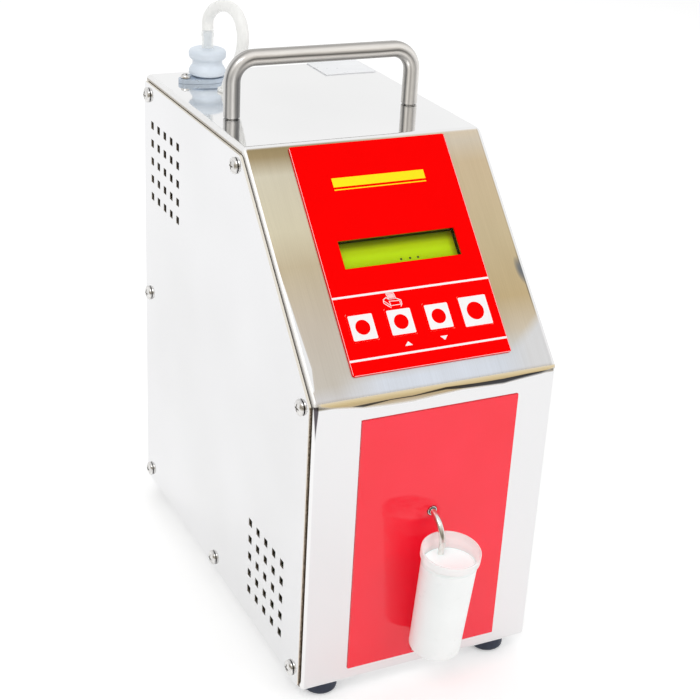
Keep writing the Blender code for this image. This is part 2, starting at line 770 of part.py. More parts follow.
def build_overlay(slope):
    x = CENTRE_X + OVERLAY_SHIFT
    y = OVERLAY_FROM_FOLD + OVERLAY_LENGTH / 2
    edge = fillet_outline(rectangle(OVERLAY_WIDTH, OVERLAY_LENGTH, (x, y)), OVERLAY_CORNER_RADIUS)
    window_centre = (CENTRE_X + WINDOW_SHIFT, WINDOW_FROM_FOLD)
    window = rectangle(WINDOW_WIDTH, WINDOW_HEIGHT, window_centre)
    keys = [
        fillet_outline(
            rectangle(side + 2 * SEAT_GAP, side + 2 * SEAT_GAP, (key_x, KEY_FROM_FOLD)),
            KEY_CORNER_RADIUS + SEAT_GAP)
        for name, key_x, side in key_table()
    ]
    add("keypad_overlay", plate_mesh([edge, window, *keys], OVERLAY_SHEET), "overlay red",
        at=(0, 0, SEAT_GAP + OVERLAY_SHEET / 2), parent=slope)
    pane = block_mesh(WINDOW_WIDTH - 2 * SEAT_GAP, WINDOW_HEIGHT - 2 * SEAT_GAP, WINDOW_SHEET)
    add("display_window", pane, "clear window",
        at=(*window_centre, SEAT_GAP + OVERLAY_SHEET - WINDOW_SHEET / 2), parent=slope)
    opening = block_mesh(
        WINDOW_WIDTH + 2 * WINDOW_MARGIN, WINDOW_HEIGHT + 2 * WINDOW_MARGIN,
        2 * CUT_OVERRUN + CASING_SHEET)
    casing_hole("window_hole", opening, (*window_centre, 0), FLAT, slope)


def build_keys(slope):
    stem_length = KEY_CAP_LIFT + KEY_STEM_REACH + KEY_CAP_SHEET / 2
    hole = rod_mesh(KEY_STEM_RADIUS + KEY_STEM_CLEARANCE, 2 * CUT_OVERRUN + CASING_SHEET)
    for name, x, side in key_table():
        at = (x, KEY_FROM_FOLD, KEY_CAP_LIFT + KEY_CAP_SHEET / 2)
        outline = fillet_outline(rectangle(side, side), KEY_CORNER_RADIUS)
        cap = add(name, plate_mesh([outline], KEY_CAP_SHEET), "key white", at=at, parent=slope)
        stem = rod_mesh(KEY_STEM_RADIUS, stem_length)
        join(cap, add(f"{name}_stem", stem, at=(0, 0, -stem_length / 2), parent=cap))
        casing_hole(f"{name}_hole", hole, (x, KEY_FROM_FOLD, 0), FLAT, slope)


def board_with_posts(name, width, height, centre, depth, slope):
    """A board under the panel, on four posts that reach up to the steel."""
    top = -INNER_FLOOR - depth
    board = add(name, block_mesh(width, height, BOARD_SHEET), "board green",
                at=(*centre, top - BOARD_SHEET / 2), parent=slope)
    post = rod_mesh(STANDOFF_RADIUS, depth + BOARD_SHEET / 2, 12)
    for column in (-1, 1):
        for row in (-1, 1):
            at = (column * (width / 2 - STANDOFF_INSET), row * (height / 2 - STANDOFF_INSET),
                  (depth + BOARD_SHEET / 2) / 2)
            join(board, add(f"{name}_post_{column}_{row}", post, at=at, parent=board))
    return board


def build_display(slope):
    centre = (CENTRE_X + WINDOW_SHIFT, WINDOW_FROM_FOLD)
    board_with_posts(
        "lcd_board", LCD_BOARD_WIDTH, LCD_BOARD_HEIGHT, centre, BEZEL_DEPTH + SEAT_GAP, slope)
    opening_width = WINDOW_WIDTH + 2 * BEZEL_OPENING_MARGIN
    opening_height = WINDOW_HEIGHT + 2 * BEZEL_OPENING_MARGIN
    ring = plate_mesh(
        [rectangle(BEZEL_WIDTH, BEZEL_HEIGHT), rectangle(opening_width, opening_height)], BEZEL_DEPTH)
    add("lcd_bezel", ring, "black metal", at=(*centre, -INNER_FLOOR - BEZEL_DEPTH / 2), parent=slope)
    glass = block_mesh(opening_width - 2 * SEAT_GAP, opening_height - 2 * SEAT_GAP, GLASS_DEPTH)
    add("lcd_glass", glass, "display green",
        at=(*centre, -INNER_FLOOR - BEZEL_DEPTH + GLASS_DEPTH / 2), parent=slope)


def build_key_board(slope):
    plunger_top = -KEY_STEM_REACH - KEY_TRAVEL - PLUNGER_CLEARANCE
    board_top = plunger_top - PLUNGER_HEIGHT - SWITCH_HEIGHT
    row_x = CENTRE_X + KEY_ROW_SHIFT
    board = board_with_posts(
        "keypad_board", KEY_BOARD_WIDTH, KEY_BOARD_HEIGHT, (row_x, KEY_FROM_FOLD),
        -INNER_FLOOR - board_top, slope)
    body = block_mesh(SWITCH_SIDE, SWITCH_SIDE, SWITCH_HEIGHT + BOARD_SHEET / 2)
    plunger = rod_mesh(PLUNGER_RADIUS, PLUNGER_HEIGHT + SWITCH_HEIGHT, 12)
    for name, x, side in key_table():
        body_at = (x - row_x, 0, (SWITCH_HEIGHT + BOARD_SHEET / 2) / 2)
        join(board, add(f"{name}_switch", body, at=body_at, parent=board))
        plunger_at = (x - row_x, 0, (BOARD_SHEET + SWITCH_HEIGHT + PLUNGER_HEIGHT) / 2)
        join(board, add(f"{name}_plunger", plunger, at=plunger_at, parent=board))


# Front: label, pipe and bush

def build_label(casing):
    x = CENTRE_X + LABEL_SHIFT
    centre = (x, LABEL_FROM_BOTTOM + LABEL_HEIGHT / 2)
    pipe_hole = circle(BUSH_RADIUS + SEAT_GAP, (PIPE_X, PIPE_HEIGHT))
    stud_hole = circle(REST_STUD_RADIUS + SEAT_GAP, (PIPE_X, REST_FOOT_HEIGHT + REST_STUD_RISE), 12)
    mesh = plate_mesh([rectangle(LABEL_WIDTH, LABEL_HEIGHT, centre), pipe_hole, stud_hole], LABEL_SHEET)
    add("front_label", mesh, "label red",
        at=(0, -SEAT_GAP - LABEL_SHEET / 2, 0), turn=ON_FRONT, parent=casing)


def pipe_bend_end():
    """Where the pipe's bend ends and its straight drop begins, as (y, z)."""
    return (-PIPE_BEND * cos(CUP_LEAN), PIPE_HEIGHT - PIPE_BEND - PIPE_BEND * sin(CUP_LEAN))


def pipe_tip():
    y, z = pipe_bend_end()
    straight = PIPE_DROP - (PIPE_HEIGHT - z)
    return (y + straight * tan(CUP_LEAN), z - straight)


def build_pipe(casing):
    """Straight out of the sensor block, round a bend, and down beside the cup's axis."""
    bend = arc((0, PIPE_HEIGHT - PIPE_BEND), PIPE_BEND, pi / 2, pi + CUP_LEAN, 8)
    side = [(PIPE_INSIDE + SENSOR_SOCKET_DEPTH - SEAT_GAP, PIPE_HEIGHT), *bend, pipe_tip()]
    tube("intake_pipe", [(0, y, z) for y, z in side], PIPE_RADIUS, "satin steel", 4,
         at=(PIPE_X, 0, 0), parent=casing)
    bore = PIPE_RADIUS + PIPE_CLEARANCE
    flange = -INNER_FLOOR
    profile = [
        (bore, BUSH_LIP), (BUSH_RADIUS, BUSH_LIP), (BUSH_RADIUS, flange),
        (BUSH_FLANGE_RADIUS, flange), (BUSH_FLANGE_RADIUS, flange - BUSH_FLANGE_SHEET),
        (bore, flange - BUSH_FLANGE_SHEET),
    ]
    turned("pipe_bush", profile, "black plastic", 16, closed=True,
           at=(PIPE_X, 0, PIPE_HEIGHT), turn=ON_FRONT, parent=casing)
    hole = rod_mesh(BUSH_RADIUS + SEAT_GAP, 2 * CUT_OVERRUN + CASING_SHEET)
    casing_hole("pipe_hole", hole, (PIPE_X, 0, PIPE_HEIGHT), ON_FRONT, casing)


# Cup, milk and rest. The cup's frame stands on the middle of its base, z along its axis

def cup_radius(height):
    share = height / CUP_LENGTH
    return CUP_BOTTOM_RADIUS + (CUP_TOP_RADIUS - CUP_BOTTOM_RADIUS) * share


def cup_point(casing_y, casing_z):
    """A point of the casing's frame in the cup's frame, as (y, z)."""
    y, z = casing_y + CUP_BASE_FROM_FRONT, casing_z - CUP_BASE_HEIGHT
    return (y * cos(CUP_LEAN) + z * sin(CUP_LEAN), z * cos(CUP_LEAN) - y * sin(CUP_LEAN))


def casing_point(cup_y, cup_z):
    """A point of the cup's frame in the casing's frame, as (y, z)."""
    y = cup_y * cos(CUP_LEAN) - cup_z * sin(CUP_LEAN) - CUP_BASE_FROM_FRONT
    return (y, cup_y * sin(CUP_LEAN) + cup_z * cos(CUP_LEAN) + CUP_BASE_HEIGHT)


def build_cup(cup):
    lip_bottom = CUP_LENGTH - CUP_LIP_HEIGHT
    floor_radius = CUP_BOTTOM_RADIUS - CUP_WALL
    profile = [
        (0, CUP_WALL), (floor_radius - CUP_WALL, CUP_WALL), (floor_radius, 2 * CUP_WALL),
        (cup_radius(lip_bottom) - CUP_WALL, lip_bottom), (CUP_LIP_RADIUS - CUP_WALL, CUP_LENGTH),
        (CUP_LIP_RADIUS, CUP_LENGTH), (CUP_LIP_RADIUS, lip_bottom + CUP_LIP_STEP),
        (cup_radius(lip_bottom), lip_bottom),
        *arc((CUP_BOTTOM_RADIUS - CUP_EDGE_RADIUS, CUP_EDGE_RADIUS), CUP_EDGE_RADIUS, 0, -pi / 2, 3),
        (0, 0),
    ]
    turned("sample_cup", profile, "cup plastic", 32, parent=cup)


def build_milk(cup):
    """The milk fills the cup to a level surface, with a bore round the pipe."""
    floor = CUP_WALL + SEAT_GAP
    inner = CUP_WALL + SEAT_GAP
    top = CUP_LENGTH - CUP_LIP_HEIGHT
    start = 2 * CUP_WALL
    profile = [
        (0, top), (cup_radius(top) - inner, top), (cup_radius(start) - inner, start + SEAT_GAP),
        (CUP_BOTTOM_RADIUS - 2 * CUP_WALL - SEAT_GAP, floor), (0, floor),
    ]
    milk = turned("milk_sample", profile, "milk", 32, parent=cup)
    level_y, level_z = cup_point(-CUP_RIM_FROM_FRONT, rim_height() - MILK_BELOW_RIM)
    space = block_mesh(4 * CUP_LIP_RADIUS, 4 * CUP_LIP_RADIUS, CUP_LENGTH)
    up = Vector((0, sin(CUP_LEAN), cos(CUP_LEAN))) * (CUP_LENGTH / 2)
    level = Vector((0, level_y, level_z)) + up
    cut(milk, add("milk_level", space, at=level, turn=(-CUP_LEAN, 0, 0), parent=cup))
    pipe_y, tip_z = cup_point(*pipe_tip())
    bottom = tip_z - CUP_LIFT - PIPE_CLEARANCE
    bore = rod_mesh(PIPE_RADIUS + PIPE_CLEARANCE, CUP_LENGTH)
    cut(milk, add("milk_bore", bore, at=(0, pipe_y, bottom + CUP_LENGTH / 2), parent=cup))


def rim_height():
    return CUP_BASE_HEIGHT + CUP_LENGTH * cos(CUP_LEAN)


def build_rest(casing):
    """A bent strip: a foot on the front face and a shelf square to the cup's axis."""
    face = -LABEL_FACE - SEAT_GAP

    def shelf_at(y, cup_z):
        """The shelf plane's height at a place in front of the casing."""
        return casing_point(0, cup_z)[1] + (y - casing_point(0, cup_z)[0]) * tan(CUP_LEAN)

    outline = [
        casing_point(-REST_REACH, -SEAT_GAP), casing_point(-REST_REACH, -SEAT_GAP - REST_SHEET),
        (face - REST_SHEET, shelf_at(face - REST_SHEET, -SEAT_GAP - REST_SHEET)),
        (face - REST_SHEET, REST_FOOT_HEIGHT), (face, REST_FOOT_HEIGHT),
        (face, shelf_at(face, -SEAT_GAP)),
    ]
    rest = add("cup_rest", plate_mesh([outline], REST_WIDTH), "satin steel",
               at=(PIPE_X, 0, 0), turn=ON_SIDE, parent=casing)
    stud_at = (face + REST_STUD_LENGTH / 2 - REST_SHEET / 2, REST_FOOT_HEIGHT + REST_STUD_RISE, 0)
    stud = rod_mesh(REST_STUD_RADIUS, REST_STUD_LENGTH, 12)
    join(rest, add("rest_stud", stud, at=stud_at, turn=(0, pi / 2, 0), parent=rest))
    hole = rod_mesh(REST_STUD_RADIUS + SEAT_GAP, 2 * CUT_OVERRUN + CASING_SHEET, 16)
    hole_at = (PIPE_X, 0, REST_FOOT_HEIGHT + REST_STUD_RISE)
    casing_hole("rest_hole", hole, hole_at, ON_FRONT, casing)


# Top: hose fitting with its flange, hose, grommet and bare plate. The top's frame has z = 0 on it

def ear_place(reach=EAR_REACH):
    """The ear's centre from the fitting's axis: towards the cover, turned a little to the front."""
    return (-reach * cos(EAR_TURN), -reach * sin(EAR_TURN))


def ear_outline():
    """The flange seen from above: a disc with one ear."""
    tangent = acos((FLANGE_RING_RADIUS - EAR_RADIUS) / EAR_REACH)
    ring = arc((0, 0), FLANGE_RING_RADIUS, EAR_TURN - pi + tangent, EAR_TURN + pi - tangent, 32)
    ear = arc(ear_place(), EAR_RADIUS, EAR_TURN + pi - tangent, EAR_TURN + pi + tangent, 8)
    return ring + ear


def build_fitting(top):
    at = (FITTING_FROM_COVER, CASING_DEPTH - FITTING_FROM_REAR, 0)
    ear_hole = circle(SCREW_SHANK_RADIUS + SEAT_GAP, ear_place(), 12)
    bore = circle(FITTING_NECK_RADIUS + SEAT_GAP, (0, 0), 32)
    add("fitting_flange", plate_mesh([ear_outline(), ear_hole, bore], FLANGE_SHEET),
        "satin steel", at=(at[0], at[1], SEAT_GAP + FLANGE_SHEET / 2), parent=top)
    screw = pan_screw_mesh(FLANGE_SCREW_HEAD, SCREW_HEAD_HEIGHT, SCREW_SHANK_RADIUS, SCREW_LENGTH)
    screw_at = (at[0] + ear_place()[0], at[1] + ear_place()[1])
    add("flange_screw", screw, "screw steel", at=(*screw_at, 2 * SEAT_GAP + FLANGE_SHEET), parent=top)
    build_fitting_body(top, at)
    through = 2 * CUT_OVERRUN + CASING_SHEET
    casing_hole("fitting_hole", rod_mesh(FITTING_NECK_RADIUS + SEAT_GAP, through, 32), at, FLAT, top)
    screw_hole = rod_mesh(SCREW_SHANK_RADIUS + SEAT_GAP, through, 12)
    casing_hole("flange_screw_hole", screw_hole, (*screw_at, 0), FLAT, top)


def build_fitting_body(top, at):
    """The plastic fitting: neck, lower ring, groove, upper disc and hose barb."""
    ring_bottom = FITTING_RING_RISE
    ring_top = ring_bottom + FITTING_RING_HEIGHT
    disc_bottom = ring_top + FITTING_GROOVE_HEIGHT
    disc_top = disc_bottom + FITTING_DISC_HEIGHT
    stem_top = disc_top + BARB_STEM_HEIGHT
    rim = FITTING_RIM_RADIUS
    half_disc = FITTING_DISC_HEIGHT / 2
    profile = [
        (0, stem_top + BARB_HEAD_HEIGHT), (BARB_STEM_RADIUS, stem_top + BARB_HEAD_HEIGHT),
        (BARB_HEAD_RADIUS, stem_top), (BARB_STEM_RADIUS, stem_top), (BARB_STEM_RADIUS, disc_top),
        *arc((FITTING_DISC_RADIUS - half_disc, disc_top - half_disc), half_disc, pi / 2, -pi / 2, 4),
        (FITTING_GROOVE_RADIUS, disc_bottom), (FITTING_GROOVE_RADIUS, ring_top),
        *arc((FITTING_RING_RADIUS - rim, ring_top - rim), rim, pi / 2, 0, 2),
        *arc((FITTING_RING_RADIUS - rim, ring_bottom + rim), rim, 0, -pi / 2, 2),
        (FITTING_NECK_RADIUS, ring_bottom), (FITTING_NECK_RADIUS, -FITTING_NECK_REACH),
        (0, -FITTING_NECK_REACH),
    ]
    turned("fitting_body", profile, "fitting grey", 26, at=at, parent=top)


def build_hose(casing, top):
    tube("top_hose", smooth_route(HOSE_ROUTE, 2), HOSE_RADIUS, "hose", 2, parent=casing)
    neck = HOSE_RADIUS + SEAT_GAP + GROMMET_WALL
    bore = HOSE_RADIUS + SEAT_GAP
    over, under = SEAT_GAP, -INNER_FLOOR
    profile = [
        (bore, over + GROMMET_FLANGE_SHEET), (GROMMET_FLANGE_RADIUS, over + GROMMET_FLANGE_SHEET),
        (GROMMET_FLANGE_RADIUS, over), (neck, over), (neck, under), (GROMMET_FLANGE_RADIUS, under),
        (GROMMET_FLANGE_RADIUS, under - GROMMET_FLANGE_SHEET), (bore, under - GROMMET_FLANGE_SHEET),
    ]
    at = (GROMMET_FROM_COVER, CASING_DEPTH - GROMMET_FROM_REAR, 0)
    turned("hose_grommet", profile, "black plastic", 20, closed=True, at=at, parent=top)
    hole = rod_mesh(neck + SEAT_GAP, 2 * CUT_OVERRUN + CASING_SHEET)
    casing_hole("hose_hole", hole, at, FLAT, top)


def build_bare_plate(top):
    at = (CASING_WIDTH - PLATE_FROM_RIGHT, CASING_DEPTH - PLATE_FROM_REAR, SEAT_GAP + PLATE_SHEET / 2)
    add("type_plate", block_mesh(PLATE_WIDTH, PLATE_LENGTH, PLATE_SHEET), "bare plate", at=at, parent=top)


# Rear panel. Outlines are as seen from behind, and pieces stand out along +y

def rear_place(x, z=REAR_ROW_HEIGHT, out=0):
    return (x, CASING_DEPTH + out, z)


def build_inlet(casing):
    """A mains inlet: a flanged body with a recess and three flat pins."""
    flange_out = SEAT_GAP + INLET_FLANGE_SHEET / 2
    edge = fillet_outline(rectangle(INLET_FLANGE_WIDTH, INLET_FLANGE_HEIGHT), INLET_FLANGE_SHEET)
    inlet = add("power_inlet", plate_mesh([edge], INLET_FLANGE_SHEET), "black plastic",
                at=rear_place(INLET_FROM_COVER, out=flange_out), turn=ON_REAR, parent=casing)
    face = INLET_FLANGE_SHEET / 2
    body = block_mesh(INLET_BODY_WIDTH, INLET_BODY_HEIGHT, INLET_BODY_DEPTH)
    join(inlet, add("inlet_body", body, at=(0, 0, -INLET_BODY_DEPTH / 2), parent=inlet))
    recess = block_mesh(INLET_RECESS_WIDTH, INLET_RECESS_HEIGHT, 2 * INLET_RECESS_DEPTH)
    cut(inlet, add("inlet_recess", recess, at=(0, 0, face), parent=inlet))
    floor = face - INLET_RECESS_DEPTH
    pin = block_mesh(PIN_WIDTH, PIN_HEIGHT, PIN_LENGTH + CUT_OVERRUN)
    for column, rise in ((-1, -PIN_RISE), (0, PIN_RISE), (1, -PIN_RISE)):
        pin_at = (column * PIN_PITCH, rise, floor + (PIN_LENGTH - CUT_OVERRUN) / 2)
        join(inlet, add(f"inlet_pin_{column}", pin, at=pin_at, parent=inlet))
    opening = block_mesh(
        INLET_BODY_WIDTH + 2 * SEAT_GAP, INLET_BODY_HEIGHT + 2 * SEAT_GAP, 2 * CUT_OVERRUN + CASING_SHEET)
    casing_hole("inlet_hole", opening, rear_place(INLET_FROM_COVER), ON_REAR, casing)


def build_power_switch(casing):
    """A frame clipped in the rear, and a rocker that tilts on two short pins."""
    slot_width = ROCKER_WIDTH + 2 * SEAT_GAP
    slot_height = 2 * (ROCKER_RADIUS + SEAT_GAP)
    edge = fillet_outline(rectangle(FRAME_WIDTH, FRAME_HEIGHT), FRAME_SHEET / 2)
    centre_out = SEAT_GAP + FRAME_SHEET / 2
    bezel = add("switch_frame", plate_mesh([edge], FRAME_SHEET), "black plastic",
                at=rear_place(SWITCH_FROM_COVER, out=centre_out), turn=ON_REAR, parent=casing)
    body = block_mesh(FRAME_BODY_WIDTH, FRAME_BODY_HEIGHT, FRAME_BODY_DEPTH)
    join(bezel, add("switch_body", body, at=(0, 0, -FRAME_BODY_DEPTH / 2), parent=bezel))
    slot = block_mesh(slot_width, slot_height, 2 * (ROCKER_RADIUS + SEAT_GAP + FRAME_SHEET))
    cut(bezel, add("switch_slot", slot, at=(0, 0, FRAME_SHEET / 2), parent=bezel))
    pivot_reach = slot_width + 2 * ROCKER_PIN_LENGTH + 2 * SEAT_GAP
    pivot = rod_mesh(ROCKER_PIN_RADIUS + SEAT_GAP, pivot_reach, 16)
    cut(bezel, add("switch_pivot", pivot, at=(0, 0, -FRAME_SHEET / 2), turn=(0, pi / 2, 0), parent=bezel))
    build_rocker(casing)
    opening = block_mesh(
        FRAME_BODY_WIDTH + 2 * SEAT_GAP, FRAME_BODY_HEIGHT + 2 * SEAT_GAP,
        2 * CUT_OVERRUN + CASING_SHEET)
    casing_hole("switch_hole", opening, rear_place(SWITCH_FROM_COVER), ON_REAR, casing)


def build_rocker(casing):
    """Seen from its side, a circle cut off by two flats that meet in a shallow valley."""
    crest = sqrt(ROCKER_RADIUS ** 2 - ROCKER_CREST ** 2)
    start = atan2(ROCKER_CREST, -crest)
    end = atan2(ROCKER_CREST, crest) + 2 * pi
    outline = [(0, ROCKER_VALLEY), *arc((0, 0), ROCKER_RADIUS, start, end, 14)]
    tilted = [Matrix.Rotation(-ROCKER_TILT, 2) @ Vector(point) for point in outline]
    rocker = add("power_rocker", plate_mesh([tilted], ROCKER_WIDTH), "black plastic",
                 at=rear_place(SWITCH_FROM_COVER, out=SEAT_GAP), turn=(0, pi / 2, 0), parent=casing)
    pins = rod_mesh(ROCKER_PIN_RADIUS, ROCKER_WIDTH + 2 * SEAT_GAP + 2 * ROCKER_PIN_LENGTH, 12)
    join(rocker, add("rocker_pins", pins, parent=rocker))


def build_port(casing):
    """A nine-way serial port: a flange with a slanted metal shell and two screw jacks."""
    flange_out = SEAT_GAP + PORT_FLANGE_SHEET / 2
    edge = fillet_outline(rectangle(PORT_FLANGE_WIDTH, PORT_FLANGE_HEIGHT), PORT_FLANGE_SHEET)
    port = add("serial_port", plate_mesh([edge], PORT_FLANGE_SHEET), "zinc",
               at=rear_place(PORT_FROM_COVER, out=flange_out), turn=ON_REAR, parent=casing)
    top, half = PORT_SHELL_WIDTH / 2, PORT_SHELL_HEIGHT / 2
    shell = [(PORT_SHELL_SLANT - top, -half), (top - PORT_SHELL_SLANT, -half), (top, half), (-top, half)]
    outside = fillet_outline(shell, PORT_SHELL_SLANT)
    rise = PORT_SHELL_RISE + PORT_FLANGE_SHEET / 2
    join(port, add("port_shell", plate_mesh([outside], rise), at=(0, 0, rise / 2), parent=port))
    jack = plate_mesh([hexagon(2 * PORT_JACK_RADIUS)], rise)
    for side in (-1, 1):
        jack_at = (side * PORT_JACK_SPACING / 2, 0, rise / 2)
        join(port, add(f"port_jack_{side}", jack, at=jack_at, parent=port))
    body = block_mesh(PORT_SHELL_WIDTH, PORT_SHELL_HEIGHT, PORT_BODY_DEPTH)
    join(port, add("port_body", body, at=(0, 0, -PORT_BODY_DEPTH / 2), parent=port))
    opening = block_mesh(
        PORT_SHELL_WIDTH + 2 * SEAT_GAP, PORT_SHELL_HEIGHT + 2 * SEAT_GAP,
        2 * CUT_OVERRUN + CASING_SHEET)
    casing_hole("port_hole", opening, rear_place(PORT_FROM_COVER), ON_REAR, casing)


def build_fuse(casing):
    z = REAR_ROW_HEIGHT + FUSE_RISE_ABOVE_ROW
    profile = [
        (0, FUSE_CAP_HEIGHT), (FUSE_CAP_RADIUS - FUSE_SLOT_WIDTH / 2, FUSE_CAP_HEIGHT),
        (FUSE_CAP_RADIUS, FUSE_CAP_HEIGHT - FUSE_SLOT_WIDTH / 2), (FUSE_CAP_RADIUS, 0),
        (FUSE_BODY_RADIUS, 0), (FUSE_BODY_RADIUS, -FUSE_BODY_DEPTH), (0, -FUSE_BODY_DEPTH),
    ]
    fuse = turned("fuse_holder", profile, "black plastic", 24,
                  at=rear_place(INLET_FROM_COVER, z, SEAT_GAP), turn=ON_REAR, parent=casing)
    slot = block_mesh(FUSE_CAP_RADIUS, FUSE_SLOT_WIDTH, 2 * FUSE_SLOT_DEPTH)
    cut(fuse, add("fuse_slot", slot, at=(0, 0, FUSE_CAP_HEIGHT), parent=fuse))
    hole = rod_mesh(FUSE_BODY_RADIUS + SEAT_GAP, 2 * CUT_OVERRUN + CASING_SHEET)
    casing_hole("fuse_hole", hole, rear_place(INLET_FROM_COVER, z), ON_REAR, casing)


# Inside: boards, transformer and sensor block

def build_main_board(casing):
    """The board stands behind the lower vents, against an upright bracket on the floor."""
    x = MAIN_BOARD_FROM_COVER + BOARD_SHEET / 2
    y = MAIN_BOARD_FROM_FRONT + MAIN_BOARD_LENGTH / 2
    z = MAIN_BOARD_FROM_BOTTOM + MAIN_BOARD_HEIGHT / 2
    board = add("main_board", block_mesh(BOARD_SHEET, MAIN_BOARD_LENGTH, MAIN_BOARD_HEIGHT),
                "board green", at=(x, y, z), parent=casing)
    chip = block_mesh(CHIP_HEIGHT + BOARD_SHEET / 2, CHIP_SIDE, CHIP_SIDE)
    for number in range(CHIP_COUNT):
        chip_y = (number - (CHIP_COUNT - 1) / 2) * CHIP_PITCH
        chip_z = CHIP_RISE - MAIN_BOARD_HEIGHT / 2
        chip_at = ((CHIP_HEIGHT + BOARD_SHEET / 2) / 2, chip_y, chip_z)
        join(board, add(f"chip_{number}", chip, at=chip_at, parent=board))
    face = MAIN_BOARD_FROM_COVER + BOARD_SHEET + SEAT_GAP
    angle = [
        (face, INNER_FLOOR), (face + BOARD_BRACKET_FOOT, INNER_FLOOR),
        (face + BOARD_BRACKET_FOOT, INNER_FLOOR + BRACKET_SHEET),
        (face + BRACKET_SHEET, INNER_FLOOR + BRACKET_SHEET),
        (face + BRACKET_SHEET, INNER_FLOOR + BOARD_BRACKET_HEIGHT),
        (face, INNER_FLOOR + BOARD_BRACKET_HEIGHT),
    ]
    add("board_bracket", plate_mesh([angle], BOARD_BRACKET_LENGTH), "zinc",
        at=(0, y, 0), turn=ON_FRONT, parent=casing)


def build_transformer(casing):
    y = CASING_DEPTH - TRANSFORMER_FROM_REAR
    core = add("mains_transformer", block_mesh(CORE_WIDTH, CORE_DEPTH, CORE_HEIGHT, BRACKET_SHEET),
               "black metal", at=(TRANSFORMER_FROM_COVER, y, INNER_FLOOR + CORE_HEIGHT / 2), parent=casing)
    coil = block_mesh(COIL_WIDTH, COIL_DEPTH, COIL_HEIGHT, BRACKET_SHEET)
    join(core, add("coil", coil, parent=core))


def build_sensor(casing):
    """The block at the pipe's inner end, on an angle bracket fixed to the floor."""
    y = PIPE_INSIDE + SENSOR_DEPTH / 2
    block = add("sensor_block", block_mesh(SENSOR_WIDTH, SENSOR_DEPTH, SENSOR_HEIGHT, SENSOR_EDGE),
                "grey plastic", at=(PIPE_X, y, PIPE_HEIGHT), parent=casing)
    bore = PIPE_RADIUS + PIPE_CLEARANCE
    socket = rod_mesh(bore, 2 * SENSOR_SOCKET_DEPTH, 16)
    cut(block, add("pipe_socket", socket, at=(0, -SENSOR_DEPTH / 2, 0), turn=ON_FRONT, parent=block))
    nipple = rod_mesh(NIPPLE_RADIUS, 2 * NIPPLE_LENGTH, 16)
    join(block, add("nipple", nipple, at=(0, SENSOR_DEPTH / 2, 0), turn=ON_FRONT, parent=block))
    shelf = PIPE_HEIGHT - SENSOR_HEIGHT / 2 - SEAT_GAP
    back = PIPE_INSIDE + SENSOR_DEPTH
    sheet = BRACKET_SHEET
    strip = [
        (back, INNER_FLOOR), (back + SENSOR_BRACKET_FOOT, INNER_FLOOR),
        (back + SENSOR_BRACKET_FOOT, INNER_FLOOR + sheet), (back + sheet, INNER_FLOOR + sheet),
        (back + sheet, shelf), (PIPE_INSIDE, shelf), (PIPE_INSIDE, shelf - sheet), (back, shelf - sheet),
    ]
    add("sensor_bracket", plate_mesh([strip], SENSOR_BRACKET_WIDTH), "zinc",
        at=(PIPE_X, 0, 0), turn=ON_SIDE, parent=casing)


# Inside: peristaltic pump. Its frame has z forward along the shaft and y up

def roller_places():
    """Centres of the rollers round the shaft, seen from the front."""
    step = 2 * pi / ROLLER_COUNT
    return [
        (ROTOR_PIN_REACH * cos(step * number + pi / 2), ROTOR_PIN_REACH * sin(step * number + pi / 2))
        for number in range(ROLLER_COUNT)
    ]


def build_pump_housing(pump):
    """A block with a round track for the tube, open to the front and to the tube's side."""
    edge = fillet_outline(rectangle(PUMP_SIDE, PUMP_SIDE), PUMP_CORNER_RADIUS)
    housing = add("pump_housing", plate_mesh([edge], PUMP_DEPTH), "grey plastic",
                  at=(0, 0, PUMP_DEPTH / 2), parent=pump)
    track_depth = PUMP_DEPTH - PUMP_FLOOR
    depth = track_depth + CUT_OVERRUN
    z = (CUT_OVERRUN + PUMP_FLOOR) / 2
    track = rod_mesh(PUMP_TRACK_RADIUS, depth, 40)
    cut(housing, add("pump_track", track, at=(0, 0, z), parent=housing))
    mouth = block_mesh(PUMP_SIDE, 2 * PUMP_TRACK_RADIUS - SEAT_GAP, depth + SEAT_GAP)
    cut(housing, add("pump_mouth", mouth, at=(-PUMP_SIDE / 2, 0, z), parent=housing))
    shaft_hole = rod_mesh(SHAFT_RADIUS + SEAT_GAP, 2 * PUMP_DEPTH, 16)
    cut(housing, add("shaft_hole", shaft_hole, parent=housing))


def build_rotor(pump):
    """Shaft, hub and disc in one, with a pin for each roller."""
    disc_back = PUMP_FLOOR + SEAT_GAP
    disc_front = disc_back + ROTOR_DISC_SHEET
    hub_front = disc_front + ROLLER_LENGTH
    shaft_end = -BRACKET_SHEET - 2 * SEAT_GAP - SHAFT_REACH + SEAT_GAP
    profile = [
        (0, hub_front), (ROTOR_HUB_RADIUS, hub_front), (ROTOR_HUB_RADIUS, disc_front),
        (ROTOR_DISC_RADIUS, disc_front), (ROTOR_DISC_RADIUS, disc_back), (SHAFT_RADIUS, disc_back),
        (SHAFT_RADIUS, shaft_end), (0, shaft_end),
    ]
    rotor = turned("pump_rotor", profile, "grey plastic", 22, parent=pump)
    pin_length = ROTOR_DISC_SHEET / 2 + SEAT_GAP + ROLLER_LENGTH
    pin = rod_mesh(ROTOR_PIN_RADIUS, pin_length, 12)
    ring = plate_mesh(
        [circle(ROLLER_RADIUS), circle(ROTOR_PIN_RADIUS + SEAT_GAP, sides=12)], ROLLER_LENGTH)
    for number, (x, y) in enumerate(roller_places(), 1):
        pin_at = (x, y, disc_front - ROTOR_DISC_SHEET / 2 + pin_length / 2)
        join(rotor, add(f"roller_pin_{number}", pin, at=pin_at, parent=rotor))
        roller_at = (x, y, disc_front + SEAT_GAP + ROLLER_LENGTH / 2)
        add(f"pump_roller_{number}", smooth(ring.copy()), "roller white", at=roller_at, parent=pump)


